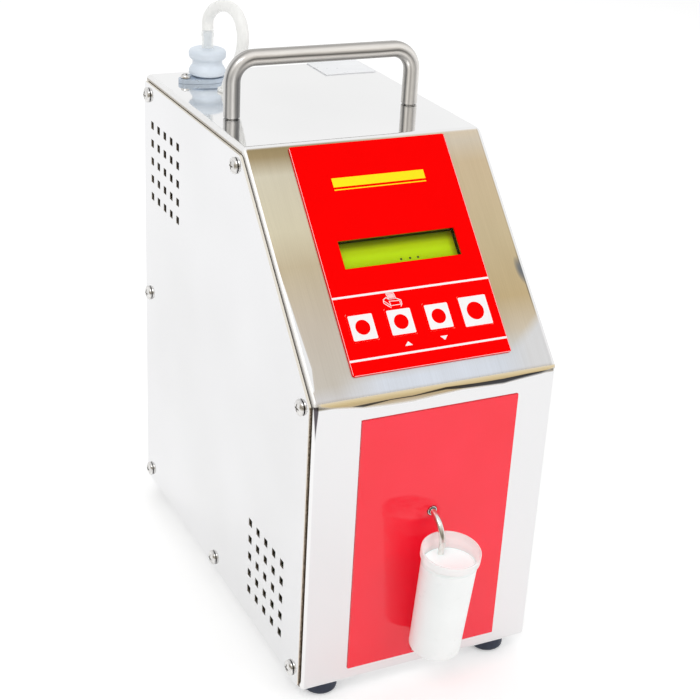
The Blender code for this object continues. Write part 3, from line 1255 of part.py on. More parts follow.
def build_motor(pump):
    """The gear motor behind the bracket, bored for the shaft."""
    front = -BRACKET_SHEET - 2 * SEAT_GAP
    back = front - MOTOR_LENGTH
    bore = SHAFT_RADIUS + SEAT_GAP
    floor = front - SHAFT_REACH - SEAT_GAP
    profile = [
        (0, floor), (bore, floor), (bore, front), (MOTOR_RADIUS - MOTOR_EDGE, front),
        (MOTOR_RADIUS, front - MOTOR_EDGE), (MOTOR_RADIUS, back + MOTOR_EDGE),
        (MOTOR_RADIUS - MOTOR_EDGE, back), (0, back),
    ]
    turned("pump_motor", profile, "zinc", 24, parent=pump)


def build_pump_bracket(casing):
    """An upright plate with a foot on the floor, and a hole for the shaft."""
    back = PUMP_PLATE_FROM_FRONT
    top = PUMP_Z + PUMP_SIDE / 2
    sheet = BRACKET_SHEET
    angle = [
        (back - PUMP_BRACKET_FOOT, INNER_FLOOR), (back, INNER_FLOOR), (back, top),
        (back - sheet, top), (back - sheet, INNER_FLOOR + sheet),
        (back - PUMP_BRACKET_FOOT, INNER_FLOOR + sheet),
    ]
    plate = add("pump_bracket", plate_mesh([angle], PUMP_BRACKET_WIDTH), "zinc",
                at=(PUMP_FROM_COVER, 0, 0), turn=ON_SIDE, parent=casing)
    hole = rod_mesh(SHAFT_RADIUS + SEAT_GAP, 2 * CUT_OVERRUN + sheet, 16)
    hole_at = (back, PUMP_Z, 0)
    cut(plate, add("bracket_hole", hole, at=hole_at, turn=(0, pi / 2, 0), parent=plate))


def pump_tube_route():
    """From the sensor block to the pump, once round its track, and up to the hose's lower end."""
    x, z = PUMP_FROM_COVER, PUMP_Z
    y = PUMP_Y - PUMP_FLOOR - SEAT_GAP - ROTOR_DISC_SHEET - SEAT_GAP - ROLLER_LENGTH / 2
    start_y = PIPE_INSIDE + SENSOR_DEPTH + NIPPLE_LENGTH + SEAT_GAP
    turn_in = y - start_y
    low = z - TUBE_TRACK_RADIUS
    approach = [
        (PIPE_X, start_y, low), (PIPE_X, start_y + 0.35 * turn_in, low),
        (PIPE_X, start_y + 0.7 * turn_in, low), (PIPE_X + 0.3 * (x - PIPE_X), y - 0.06 * turn_in, low),
    ]
    angles = [-pi / 2 + pi * step / 8 for step in range(9)]
    track = [(x + TUBE_TRACK_RADIUS * cos(a), y, z + TUBE_TRACK_RADIUS * sin(a)) for a in angles]
    hose_x, hose_y, hose_z = HOSE_ROUTE[-1]
    end_z = hose_z - SEAT_GAP
    high = z + TUBE_TRACK_RADIUS
    rise = end_z - high
    leave = [
        (x + 0.35 * (hose_x - x), y, high), (x + 0.7 * (hose_x - x), y + 0.05 * (hose_y - y), high),
        (hose_x + 0.08 * (x - hose_x), y + 0.2 * (hose_y - y), high + 0.12 * rise),
        (hose_x, y + 0.5 * (hose_y - y), high + 0.35 * rise),
        (hose_x, y + 0.85 * (hose_y - y), high + 0.65 * rise),
        (hose_x, hose_y, high + 0.88 * rise), (hose_x, hose_y, end_z),
    ]
    return approach + track + leave


def build_pump(casing):
    pump = frame("pump_frame", (PUMP_FROM_COVER, PUMP_Y, PUMP_Z), ON_FRONT, casing)
    build_pump_housing(pump)
    build_rotor(pump)
    build_motor(pump)
    build_pump_bracket(casing)
    tube("pump_tube", smooth_route(pump_tube_route(), 2), TUBE_RADIUS, "hose", 2, parent=casing)


def build_milk_analyzer():
    """The origin is the middle of the whole object's box, on the surface under the feet."""
    left = -SEAT_GAP - SCREW_HEAD_HEIGHT
    front = -CUP_RIM_FROM_FRONT - CUP_LIP_RADIUS * cos(CUP_LEAN)
    middle_x = (left + CASING_WIDTH) / 2
    middle_y = (front + CASING_DEPTH + REAR_REACH) / 2
    casing = frame("casing_frame", (-middle_x, -middle_y, FOOT_HEIGHT))
    slope = frame("slope_frame", (0, 0, FRONT_HEIGHT), (SLOPE_ANGLE, 0, 0), casing)
    top = frame("top_frame", (0, 0, CASING_HEIGHT), FLAT, casing)
    cup_at = (PIPE_X, -CUP_BASE_FROM_FRONT, CUP_BASE_HEIGHT)
    cup = frame("cup_frame", cup_at, (CUP_LEAN, 0, 0), casing)
    build_casing(casing)
    build_cover(casing)
    build_cover_screws(casing)
    build_feet(casing)
    build_handle(casing)
    build_overlay(slope)
    build_keys(slope)
    build_display(slope)
    build_key_board(slope)
    build_label(casing)
    build_pipe(casing)
    build_cup(cup)
    build_milk(cup)
    build_rest(casing)
    build_fitting(top)
    build_hose(casing, top)
    build_bare_plate(top)
    build_inlet(casing)
    build_power_switch(casing)
    build_port(casing)
    build_fuse(casing)
    build_main_board(casing)
    build_transformer(casing)
    build_sensor(casing)
    build_pump(casing)
    bpy.context.view_layer.update()


build_milk_analyzer()
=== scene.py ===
"""The looks of the milk analyzer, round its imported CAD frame.

Lengths are in metres in the row frame. P() takes millimetres from the casing's lower front left corner,
and S() takes millimetres across the sloped panel, up it from the fold, and out from its steel.
"""

import json
from math import cos, hypot, pi, radians, sin

import bmesh
import bpy
from mathutils import Matrix, Vector

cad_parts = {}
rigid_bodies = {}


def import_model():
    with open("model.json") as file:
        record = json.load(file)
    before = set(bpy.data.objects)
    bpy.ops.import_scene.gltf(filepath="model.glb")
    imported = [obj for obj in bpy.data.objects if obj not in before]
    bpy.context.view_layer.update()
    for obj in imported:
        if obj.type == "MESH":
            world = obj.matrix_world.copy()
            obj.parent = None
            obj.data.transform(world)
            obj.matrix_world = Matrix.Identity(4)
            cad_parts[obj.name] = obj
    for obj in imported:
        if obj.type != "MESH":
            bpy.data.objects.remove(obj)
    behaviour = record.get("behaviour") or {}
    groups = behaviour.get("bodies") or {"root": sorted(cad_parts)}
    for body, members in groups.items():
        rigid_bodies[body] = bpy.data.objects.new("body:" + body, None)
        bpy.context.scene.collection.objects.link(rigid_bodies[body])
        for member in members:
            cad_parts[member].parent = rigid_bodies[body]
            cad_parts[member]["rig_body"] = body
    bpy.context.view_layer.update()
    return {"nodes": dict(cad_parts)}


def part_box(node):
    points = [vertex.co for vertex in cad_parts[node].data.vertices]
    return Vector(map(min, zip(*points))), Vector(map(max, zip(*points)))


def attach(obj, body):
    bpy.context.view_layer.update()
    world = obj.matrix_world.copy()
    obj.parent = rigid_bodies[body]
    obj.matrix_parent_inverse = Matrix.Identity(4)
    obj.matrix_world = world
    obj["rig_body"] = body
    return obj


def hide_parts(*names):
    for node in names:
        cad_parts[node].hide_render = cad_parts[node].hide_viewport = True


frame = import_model()
nodes = frame["nodes"]

# ---------------------------------------------------------------- places

# The casing's solid starts behind the side cover's sheet and its gap.
COVER_SPACE = 1.5
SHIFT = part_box("casing_shell")[0] * 1000 - Vector((COVER_SPACE, 0, 0))
# The casing's height and width, the height of the fold, and how far back the slope goes from there to the top.
HEIGHT, WIDTH, FOLD, SETBACK = 238.7, 125.0, 150.1, 85.9
RUN = hypot(HEIGHT - FOLD, SETBACK)
UP_SLOPE = Vector((0, SETBACK / RUN, (HEIGHT - FOLD) / RUN))
OFF_SLOPE = Vector((0, -(HEIGHT - FOLD) / RUN, SETBACK / RUN))

# How far out from the slope's steel the display's glass, the film's face and the keys' faces lie.
GLASS, FILM_TOP, KEY_TOP = -3.5, 0.8, 1.4

# Heights of the milk's surface, and of the place where the cup turns see-through above it.
MILK_LEVEL, CUP_CLEAR_FROM = 69.5, 69.0


def P(x, y, z):
    return (Vector((x, y, z)) + SHIFT) / 1000


def S(x, s, n):
    return (Vector((x, 0, FOLD)) + SHIFT + UP_SLOPE * s + OFF_SLOPE * n) / 1000


SLOPE_TURN = Matrix((
    (1, 0, 0), (0, UP_SLOPE.y, OFF_SLOPE.y), (0, UP_SLOPE.z, OFF_SLOPE.z))).to_4x4()


def slope_frame(x, s, n):
    return Matrix.Translation(S(x, s, n)) @ SLOPE_TURN


def in_scene(name, data):
    """A new object in the scene."""
    obj = bpy.data.objects.new(name, data)
    bpy.context.scene.collection.objects.link(obj)
    return obj


# ---------------------------------------------------------------- camera

camera = in_scene("camera", bpy.data.cameras.new("camera"))
camera.data.sensor_width = 36
camera.data.lens = 75.93
camera.data.shift_x = -0.0147
camera.data.shift_y = 0.0286
camera.data.clip_start = 0.01
camera.matrix_world = Matrix((
    (0.897929, 0.146083, -0.415191, -0.299850),
    (-0.436845, 0.411011, -0.800148, -0.599468),
    (0.053760, 0.899850, 0.432874, 0.444300),
    (0, 0, 0, 1)))
bpy.context.scene.camera = camera
bpy.context.scene.view_settings.view_transform = "Standard"

# ---------------------------------------------------------------- materials

BLACK, WHITE = (0, 0, 0), (1, 1, 1)


class Nodes:
    """Short ways to add and join the nodes of one material or of the world."""

    def __init__(self, tree):
        self.tree = tree
        self.shader = tree.nodes.get("Principled BSDF")

    def add(self, kind, inputs=None, **settings):
        node = self.tree.nodes.new("ShaderNode" + kind)
        for name, value in settings.items():
            setattr(node, name, value)
        for name, value in (inputs or {}).items():
            self.put(node.inputs[name], value)
        return node

    def put(self, socket, value):
        if isinstance(value, bpy.types.NodeSocket):
            self.tree.links.new(value, socket)
        else:
            socket.default_value = value

    def shade(self, **values):
        """Sets the shader's sockets, where an underscore stands for a space in a name."""
        for name, value in values.items():
            self.put(self.shader.inputs[name.replace("_", " ")], value)

    def math(self, operation, *values, clamp=False):
        node = self.add("Math", operation=operation, use_clamp=clamp)
        for socket, value in zip(node.inputs, values):
            self.put(socket, value)
        return node.outputs[0]

    def over(self, a, b, steep):
        """0 where a is b or less, and 1 where it is more by at least one part in steep."""
        return self.math("MULTIPLY", self.math("SUBTRACT", a, b), steep, clamp=True)

    def share(self, value, start, length):
        """How far value has come from start, as a share of length."""
        return self.math("DIVIDE", self.math("SUBTRACT", value, start), length)

    def product(self, first, *others):
        for value in others:
            first = self.math("MULTIPLY", first, value)
        return first

    def ramp(self, fac, stops):
        node = self.add("ValToRGB", {"Fac": fac})
        elements = node.color_ramp.elements
        while len(elements) < len(stops):
            elements.new(0.5)
        for element, (place, colour) in zip(elements, stops):
            element.position = place
            element.color = (*colour, 1)
        return node.outputs["Color"]

    def fade(self, fac, start, end, falling=False):
        """From 0 at start to 1 at end, or from 1 to 0 where it is falling."""
        first, last = (WHITE, BLACK) if falling else (BLACK, WHITE)
        return self.ramp(fac, [(start, first), (end, last)])

    def mix(self, fac, a, b, blend_type="MIX"):
        node = self.add("Mix", data_type="RGBA", blend_type=blend_type)
        self.put(node.inputs[0], fac)
        for socket, value in ((node.inputs[6], a), (node.inputs[7], b)):
            self.put(socket, (*value, 1) if isinstance(value, tuple) else value)
        return node.outputs[2]

    def parts(self, vector):
        return self.add("SeparateXYZ", {"Vector": vector}).outputs

    def scaled(self, vector, scale):
        return self.add("Mapping", {"Vector": vector, "Scale": scale}).outputs[0]

    def place(self, scale=(1, 1, 1)):
        """Object coordinates, in metres, stretched by scale."""
        return self.scaled(self.add("TexCoord").outputs["Object"], scale)

    def noise(self, scale, detail, vector=None, rough=0.5):
        inputs = {"Scale": scale, "Detail": detail, "Roughness": rough}
        inputs["Vector"] = vector if vector is not None else self.place()
        return self.add("TexNoise", inputs).outputs["Fac"]

    def bump(self, height, distance, strength, normal=None):
        inputs = {"Height": height, "Distance": distance, "Strength": strength}
        if normal is not None:
            inputs["Normal"] = normal
        return self.add("Bump", inputs).outputs[0]


def material(name, base, rough, metallic=0.0, **sockets):
    """A Principled material and its node tools."""
    made = bpy.data.materials.new(name)
    made.use_nodes = True
    n = Nodes(made.node_tree)
    n.shade(Base_Color=(*base, 1), Roughness=rough, Metallic=metallic, **sockets)
    return made, n


def moulded(name, base, rough, grain=0.00002, scale=2500, spread=0.06, metallic=0.0, **sockets):
    """Moulded plastic, rubber or plating: a fine grain, and small changes of shade and gloss."""
    made, n = material(name, base, rough, metallic, **sockets)
    darker = tuple(c * (1 - spread) for c in base)
    lighter = tuple(min(1, c * (1 + spread)) for c in base)
    n.shade(
        Base_Color=n.ramp(n.noise(60, 3), [(0.3, darker), (0.7, lighter)]),
        Roughness=n.math("MULTIPLY_ADD", n.noise(220, 4), 0.16, rough - 0.08),
        Normal=n.bump(n.noise(scale, 2), grain, 0.5))
    return made


def cover_steel():
    """Polished sheet whose cut edge shows: a rough brown mottle down the front, painted dark as shade, but for a
    painted highlight along the rim at its outer side, and a pale painted highlight along the slope and the top."""
    made, n = material("cover_steel", (0.84, 0.84, 0.85), 0.07, 1.0)
    rim_width = 0.40
    # The pale edge colour is a painted highlight.
    edge_highlight = (0.80, 0.76, 0.68)
    normal = n.parts(n.add("NewGeometry").outputs["Normal"])
    face = n.ramp(n.noise(9, 2), [(0.35, (0.76, 0.76, 0.765)), (0.65, (0.81, 0.81, 0.82))])
    # Brown mottle for the front of the cut edge, painted dark as shade.
    shaded_cut_mottle = n.ramp(n.noise(1, 3, n.place((300, 900, 900)), 0.7), [
        (0.35, (0.07, 0.05, 0.03)), (0.65, (0.30, 0.25, 0.19))])
    inner = n.over(n.parts(n.place())["X"], P(rim_width, 0, 0).x, 8000)
    edge = n.mix(n.fade(normal["Z"], 0.3, 0.6), n.mix(inner, edge_highlight, shaded_cut_mottle), edge_highlight)
    on_edge = n.fade(n.math("MULTIPLY", normal["X"], -1.0), 0.25, 0.50, falling=True)
    smear = n.noise(30, 5, n.place((1, 1, 0.25)), 0.6)
    n.shade(
        Base_Color=n.mix(on_edge, face, edge),
        Roughness=n.math("ADD", n.math("MULTIPLY_ADD", smear, 0.08, 0.03), n.product(on_edge, 0.35)),
        Normal=n.bump(n.noise(14, 1), 0.0004, 0.25))
    return made


def satin(name, low, high, rough, stretch=(1, 1, 1)):
    """Drawn or ground bar: fine streaks along one axis."""
    made, n = material(name, high, rough, 1.0)
    streaks = n.noise(900, 3, n.place(stretch))
    n.shade(
        Base_Color=n.ramp(streaks, [(0.3, low), (0.7, high)]),
        Roughness=n.math("MULTIPLY_ADD", streaks, 0.16, rough - 0.08),
        Normal=n.bump(streaks, 0.00002, 0.4))
    return made


def drawn_bar():
    """Bright drawn bar: painted reflections in bands round it, and fine streaks along its length, from the
    round-the-bar coordinate of its skin. The painted bands change from the right leg to the bar and from there to the
    left leg, at places in centimetres along."""
    made, n = material("handle_steel", (0.6, 0.58, 0.55), 0.2, 0.35)
    bar_from, left_leg_from = 3.1, 12.1
    skin = n.add("UVMap", uv_map="round_and_along").outputs["UV"]
    drift = n.noise(1, 2, n.scaled(skin, (3, 0.25, 1)))
    fine = n.noise(1, 3, n.scaled(skin, (60, 0.9, 1)), 0.7)
    where = n.parts(skin)
    around = n.math("ADD", where["X"], n.math("MULTIPLY_ADD", drift, 0.03, -0.015))

    def bands(tint, stops):
        return n.ramp(around, [(at, tuple(grey * c for c in tint)) for at, grey in stops])

    # Painted reflections: the light and dark bands round each leg and the bar, with their highlights and dark lines.
    right_leg = bands((1.0, 0.97, 0.93), [
        (0.0, 0.60), (0.30, 0.40), (0.50, 0.65), (0.57, 0.13), (0.625, 0.97), (0.665, 0.45), (0.705, 0.75),
        (0.765, 0.40), (0.84, 0.85), (1.0, 0.60)])
    bar = bands((1.0, 0.96, 0.91), [
        (0.0, 0.26), (0.20, 0.69), (0.40, 0.34), (0.57, 0.40), (0.64, 0.22), (0.71, 0.80), (0.757, 0.13),
        (0.82, 0.80), (0.845, 0.84), (0.866, 0.82), (0.889, 0.68), (0.918, 0.44), (0.95, 0.34), (0.98, 0.48),
        (1.0, 0.26)])
    left_leg = bands((1.0, 0.99, 0.98), [
        (0.0, 0.80), (0.25, 0.57), (0.50, 0.34), (0.65, 0.25), (0.69, 0.12), (0.735, 0.30), (0.785, 0.97),
        (0.83, 0.48), (0.875, 0.70), (0.925, 0.10), (0.96, 0.60), (1.0, 0.80)])
    shade = n.mix(n.over(where["Y"], bar_from, 0.8), right_leg, bar)
    shade = n.mix(n.over(where["Y"], left_leg_from, 0.8), shade, left_leg)
    streaks = n.ramp(fine, [(0.3, (0.60, 0.58, 0.55)), (0.7, (1.12, 1.12, 1.12))])
    n.shade(
        Base_Color=n.mix(0.26, shade, streaks, "MULTIPLY"),
        Roughness=n.math("MULTIPLY_ADD", fine, 0.14, 0.16),
        Normal=n.bump(fine, 0.00001, 0.4))
    return made


def panel_shade(n, across, up, lines):
    """The sloped panel's colour: brush lines along its height over a painted reflection of khaki and gold, a pale
    painted reflection as its foot above the fold, and near its right edge a painted dark line and a painted dark spot,
    both reflections of the bend."""
    # Painted reflection: the panel's colour up its height, khaki and gold, darker towards the top.
    left = n.ramp(up, [
        (0.0, (0.72, 0.72, 0.75)), (0.07, (0.64, 0.60, 0.54)), (0.30, (0.63, 0.56, 0.47)), (0.52, (0.61, 0.52, 0.36)),
        (0.66, (0.72, 0.66, 0.49)), (0.88, (0.71, 0.66, 0.52)), (0.955, (0.41, 0.32, 0.18)),
        (1.0, (0.35, 0.27, 0.14))])
    right = n.ramp(up, [
        (0.0, (0.75, 0.70, 0.68)), (0.07, (0.72, 0.76, 0.80)), (0.17, (0.67, 0.59, 0.47)), (0.30, (0.60, 0.47, 0.27)),
        (0.55, (0.63, 0.52, 0.33)), (0.86, (0.66, 0.53, 0.35)), (0.95, (0.69, 0.61, 0.49)), (1.0, (0.75, 0.64, 0.49))])
    panel = n.mix(n.fade(across, 0.35, 0.65), left, right)

    # The pale foot above the fold is a painted reflection.
    rising = n.product(n.math("MAXIMUM", n.math("SUBTRACT", across, 0.83), 0.0), 0.8)
    foot = n.product(n.fade(n.math("SUBTRACT", up, rising), 0.055, 0.105, falling=True), n.fade(across, 0.12, 0.3))
    panel = n.mix(foot, panel, n.ramp(across, [(0.78, (0.75, 0.80, 0.89)), (0.90, (0.74, 0.745, 0.76))]))

    broad = n.noise(1, 2, n.place((60, 14, 14)))
    panel = n.mix(0.16, panel, n.ramp(lines, [(0.32, (0.45, 0.42, 0.38)), (0.68, WHITE)]), "MULTIPLY")
    panel = n.mix(0.30, panel, n.ramp(broad, [(0.3, (0.72, 0.69, 0.63)), (0.7, WHITE)]), "MULTIPLY")

    # A painted dark line near the right edge, a reflection of the bend.
    from_line = n.math("ABSOLUTE", n.math("SUBTRACT", across, 0.9765))
    line = n.math("SUBTRACT", 1.0, n.product(from_line, 300), clamp=True)
    line_height = n.ramp(up, [(0.20, BLACK), (0.30, WHITE), (0.42, WHITE), (0.50, (0.25,) * 3)])
    panel = n.mix(n.product(line, line_height), panel, (0.14, 0.13, 0.12))

    # A painted dark spot near the right edge, a reflection of the bend.
    aside = n.share(across, n.math("MULTIPLY_ADD", up, -0.10, 1.012), 0.022)
    along = n.share(up, 0.395, 0.060)
    reach = n.math("ADD", n.product(aside, aside), n.product(along, along))
    return n.mix(n.math("SUBTRACT", 1.0, reach, clamp=True), panel, (0.17, 0.18, 0.19))


def fold_bands(n, across, here, normal, on_front):
    """Where the fold under the panel carries painted reflections, gold and near-black bands, and their colour there.
    The edges of the bands are heights in millimetres at places across the casing."""
    start, reach = 144.0, 8.0
    height = n.share(here["Z"], P(0, 0, start).z, reach / 1000)

    def level(*stops):
        return n.ramp(across, [(at, ((z - start) / reach,) * 3) for at, z in stops])

    dark_top = level((0.15, 147.6), (0.21, 147.9), (0.31, 148.2), (0.40, 148.1), (0.53, 149.3), (0.67, 148.7),
                     (0.77, 148.65), (0.88, 149.1), (1.0, 149.2))
    dark_bottom = level((0.15, 147.6), (0.20, 146.3), (0.26, 146.9), (0.31, 147.5), (0.40, 147.3), (0.53, 147.9),
                        (0.60, 147.1), (0.70, 146.4), (0.77, 146.0), (0.83, 146.7), (0.93, 147.6), (0.985, 149.0))
    gold_bottom = level((0.035, 149.3), (0.08, 147.9), (0.15, 146.8), (0.21, 145.6), (0.31, 144.9), (0.40, 144.7),
                        (0.50, 145.6), (0.60, 146.3), (0.77, 145.6), (0.83, 146.4), (0.93, 147.4), (0.985, 149.0))
    fold = n.product(n.over(height, gold_bottom, 7), n.over(0.862, height, 40), on_front, n.over(across, 0.03, 60),
                     n.over(0.5, n.math("ABSOLUTE", normal["X"]), 10))
    # The gold and near-black colours are painted reflections in the fold.
    gold_reflection = n.ramp(height, [(0.15, (0.66, 0.60, 0.50)), (0.40, (0.46, 0.35, 0.20)), (0.60, (0.55, 0.42, 0.21)),
                           (0.72, (0.67, 0.53, 0.29)), (0.84, (0.70, 0.60, 0.42))])
    dark = n.product(n.over(dark_top, height, 30), n.over(height, dark_bottom, 30))
    dark_reflection = n.ramp(across, [(0.5, (0.022, 0.012, 0.002)), (0.75, (0.012, 0.012, 0.016))])
    return fold, n.mix(dark, gold_reflection, dark_reflection)


def casing_steel():
    """Polished sheet, brushed on its sloped panel but for a polished strip along either side of that. Its flange
    behind the side cover is painted dark as shade, its front face is painted a little darker as shade, a pointed
    painted dark reflection stands below the left end of the fold, and the fold carries painted reflections."""
    made, n = material("casing_steel", (0.84, 0.84, 0.84), 0.08, 1.0)
    mark_foot, mark_top, mark_middle = 132.0, 150.0, 3.2
    front_depth = 4.0
    geometry = n.add("NewGeometry").outputs["Normal"]
    normal = n.parts(geometry)
    leftwards = n.math("MULTIPLY", normal["X"], -1.0)
    facing = n.add("VectorMath", operation="DOT_PRODUCT")
    n.put(facing.inputs[0], geometry)
    facing.inputs[1].default_value = OFF_SLOPE
    here = n.parts(n.place())
    across = n.share(here["X"], SHIFT.x / 1000, WIDTH / 1000)
    up = n.share(here["Z"], (FOLD + SHIFT.z) / 1000, (HEIGHT - FOLD) / 1000)
    lines = n.noise(1, 4, n.place((2600, 25, 25)), 0.75)

    left_strip = n.ramp(up, [
        (0.02, BLACK), (0.06, (0.036,) * 3), (0.14, (0.048,) * 3), (0.55, (0.026,) * 3), (1.0, (0.012,) * 3)])
    polish = n.math("MAXIMUM", n.over(left_strip, across, 260), n.over(across, 0.9785, 400))
    brushed = n.product(n.fade(facing.outputs["Value"], 0.93, 0.985), n.math("SUBTRACT", 1.0, polish))

    plain = n.ramp(n.noise(9, 2), [(0.35, (0.82, 0.82, 0.82)), (0.65, (0.87, 0.87, 0.87))])
    # The front face is painted a little darker than the other faces, as painted shade.
    plain = n.mix(n.fade(n.math("MULTIPLY", normal["Y"], -1.0), 0.90, 0.97), plain, (0.755, 0.755, 0.76))
    shade = n.mix(brushed, plain, panel_shade(n, across, up, lines))
    # The flange, seen in the gap behind the side cover, is painted dark brown as shade, paler towards the top.
    flange = n.ramp(up, [(0.0, (0.12, 0.09, 0.06)), (0.04, (0.30, 0.26, 0.21)), (0.93, (0.34, 0.30, 0.25)),
                         (0.99, (0.62, 0.59, 0.55))])
    shade = n.mix(n.fade(leftwards, 0.90, 0.96), shade, flange)

    on_front = n.over(P(0, front_depth, 0).y, here["Y"], 3000)
    # A pointed dark mark below the left end of the fold, a painted dark reflection.
    half_width = n.product(n.math("SUBTRACT", here["Z"], P(0, 0, mark_foot).z), 0.070)
    from_middle = n.math("ABSOLUTE", n.math("SUBTRACT", here["X"], P(mark_middle, 0, 0).x))
    wedge_reflection = n.product(n.over(half_width, from_middle, 3000), n.over(P(0, 0, mark_top).z, here["Z"], 3000), on_front)
    shade = n.mix(wedge_reflection, shade, (0.10, 0.09, 0.10))

    # The fold takes its painted reflections, and its metallic is turned off there.
    fold, bands = fold_bands(n, across, here, normal, on_front)
    rough = n.math("ADD", n.math("MULTIPLY_ADD", brushed, 0.20, 0.06), n.product(fold, 0.3))
    rough = n.math("ADD", rough, n.product(lines, brushed, 0.12))
    flange_bend = n.product(n.fade(leftwards, 0.05, 0.2), n.fade(normal["Z"], 0.05, 0.2))
    wavy = n.bump(n.noise(14, 1), 0.0004, 0.2)
    n.shade(
        Base_Color=n.mix(fold, shade, bands),
        Metallic=n.math("SUBTRACT", 1.0, fold),
        Roughness=n.math("ADD", rough, n.product(flange_bend, 0.5)),
        Normal=n.bump(n.product(lines, brushed), 0.00002, 0.4, wavy))
    return made


def overlay_film(name, glow):
    """Printed film: flat red with a faint grain, and on the key caps a little glow, painted light that takes the shade
    off their thin sides.
    """
    made, n = material(name, (1.0, 0.0, 0.0), 0.42, Specular_IOR_Level=0.02, Emission_Color=(1.0, 0.0, 0.0, 1),
                       Emission_Strength=glow)
    n.shade(
        Base_Color=n.ramp(n.noise(70, 2), [(0.3, (0.98, 0.0, 0.0)), (0.7, (1.0, 0.0, 0.0))]),
        Roughness=n.math("MULTIPLY_ADD", n.noise(400, 3), 0.14, 0.36),
        Normal=n.bump(n.noise(3500, 2), 0.00001, 0.5))
    return made


def glossy_film():
    """The front label: a smooth red film that mirrors the cup and the pipe."""
    made, n = material("glossy_film", (1.0, 0.0, 0.02), 0.08, IOR=1.61)
    n.shade(
        Base_Color=n.ramp(n.noise(25, 2), [(0.3, (0.97, 0.0, 0.02)), (0.7, (1.0, 0.002, 0.03))]),
        Roughness=n.math("MULTIPLY_ADD", n.noise(90, 4), 0.06, 0.04),
        Normal=n.bump(n.noise(40, 2), 0.0001, 0.2))
    return made


def backlit_film():
    """The display: a slight glow, and painted shadow of its recess that darkens it towards its upper edge
    and its right end.
    """
    made, n = material("lcd_green", (0.40, 0.61, 0.01), 0.30, Specular_IOR_Level=0.02, Emission_Strength=0.3)
    low, high = 61.0, 75.0
    here = n.parts(n.place())
    up = n.share(here["Z"], S(0, low, GLASS).z, S(0, high, 0).z - S(0, low, 0).z)
    across = n.share(here["X"], P(0, 0, 0).x, WIDTH / 1000)
    # Painted shadow of the recess: darker green towards the upper edge, and brown at the right end.
    shadowed_green = n.ramp(up, [(0.0, (0.38, 0.57, 0.005)), (0.35, (0.46, 0.68, 0.010)), (0.60, (0.38, 0.52, 0.006)),
                        (0.78, (0.15, 0.19, 0.003)), (0.92, (0.07, 0.09, 0.002)), (1.0, (0.04, 0.05, 0.001))])
    colour = n.mix(n.fade(across, 0.725, 0.765), shadowed_green, (0.15, 0.07, 0.002))
    colour = n.mix(1.0, colour, n.ramp(n.noise(900, 2), [(0.3, (0.94, 0.94, 0.94)), (0.7, WHITE)]), "MULTIPLY")
    n.shade(
        Base_Color=colour, Emission_Color=colour,
        Roughness=n.math("MULTIPLY_ADD", n.noise(220, 4), 0.16, 0.22))
    return made


def cup_plastic():
    """Cloudy white plastic: see-through above the milk, and white where the milk stands behind it. Its faint cyan glow
    is painted light that brightens its shaded front.
    """
    made, n = material("cup_plastic", (0.97, 0.95, 0.95), 0.30, IOR=1.45, Specular_IOR_Level=0.2,
                       Emission_Color=(0.4, 0.9, 0.85, 1), Emission_Strength=0.055)
    above = n.over(n.parts(n.place())["Z"], P(0, 0, CUP_CLEAR_FROM).z, 1000)
    n.shade(
        Alpha=n.math("MULTIPLY_ADD", above, -0.31, 0.93),
        Base_Color=n.ramp(n.noise(60, 3), [(0.3, (0.96, 0.945, 0.94)), (0.7, (0.99, 0.975, 0.97))]),
        Roughness=n.math("MULTIPLY_ADD", n.noise(220, 4), 0.16, 0.22),
        Normal=n.bump(n.noise(900, 2), 0.00001, 0.5))
    return made


def silicone(name, least):
    """Translucent hose: clearer in its middle, where its alpha is least, than at its edges.
    Its faint glow is painted light.
    """
    made, n = material(name, (0.97, 0.97, 0.95), 0.28, IOR=1.41, Emission_Color=(1.0, 1.0, 0.97, 1),
                       Emission_Strength=0.05)
    rim = n.add("LayerWeight", {"Blend": 0.35}).outputs["Facing"]
    n.shade(
        Alpha=n.math("MULTIPLY_ADD", rim, 0.25, least),
        Base_Color=n.ramp(n.noise(40, 2), [(0.3, (0.95, 0.95, 0.93)), (0.7, (0.98, 0.98, 0.96))]),
        Roughness=n.math("MULTIPLY_ADD", n.noise(220, 3), 0.12, 0.22))
    return made


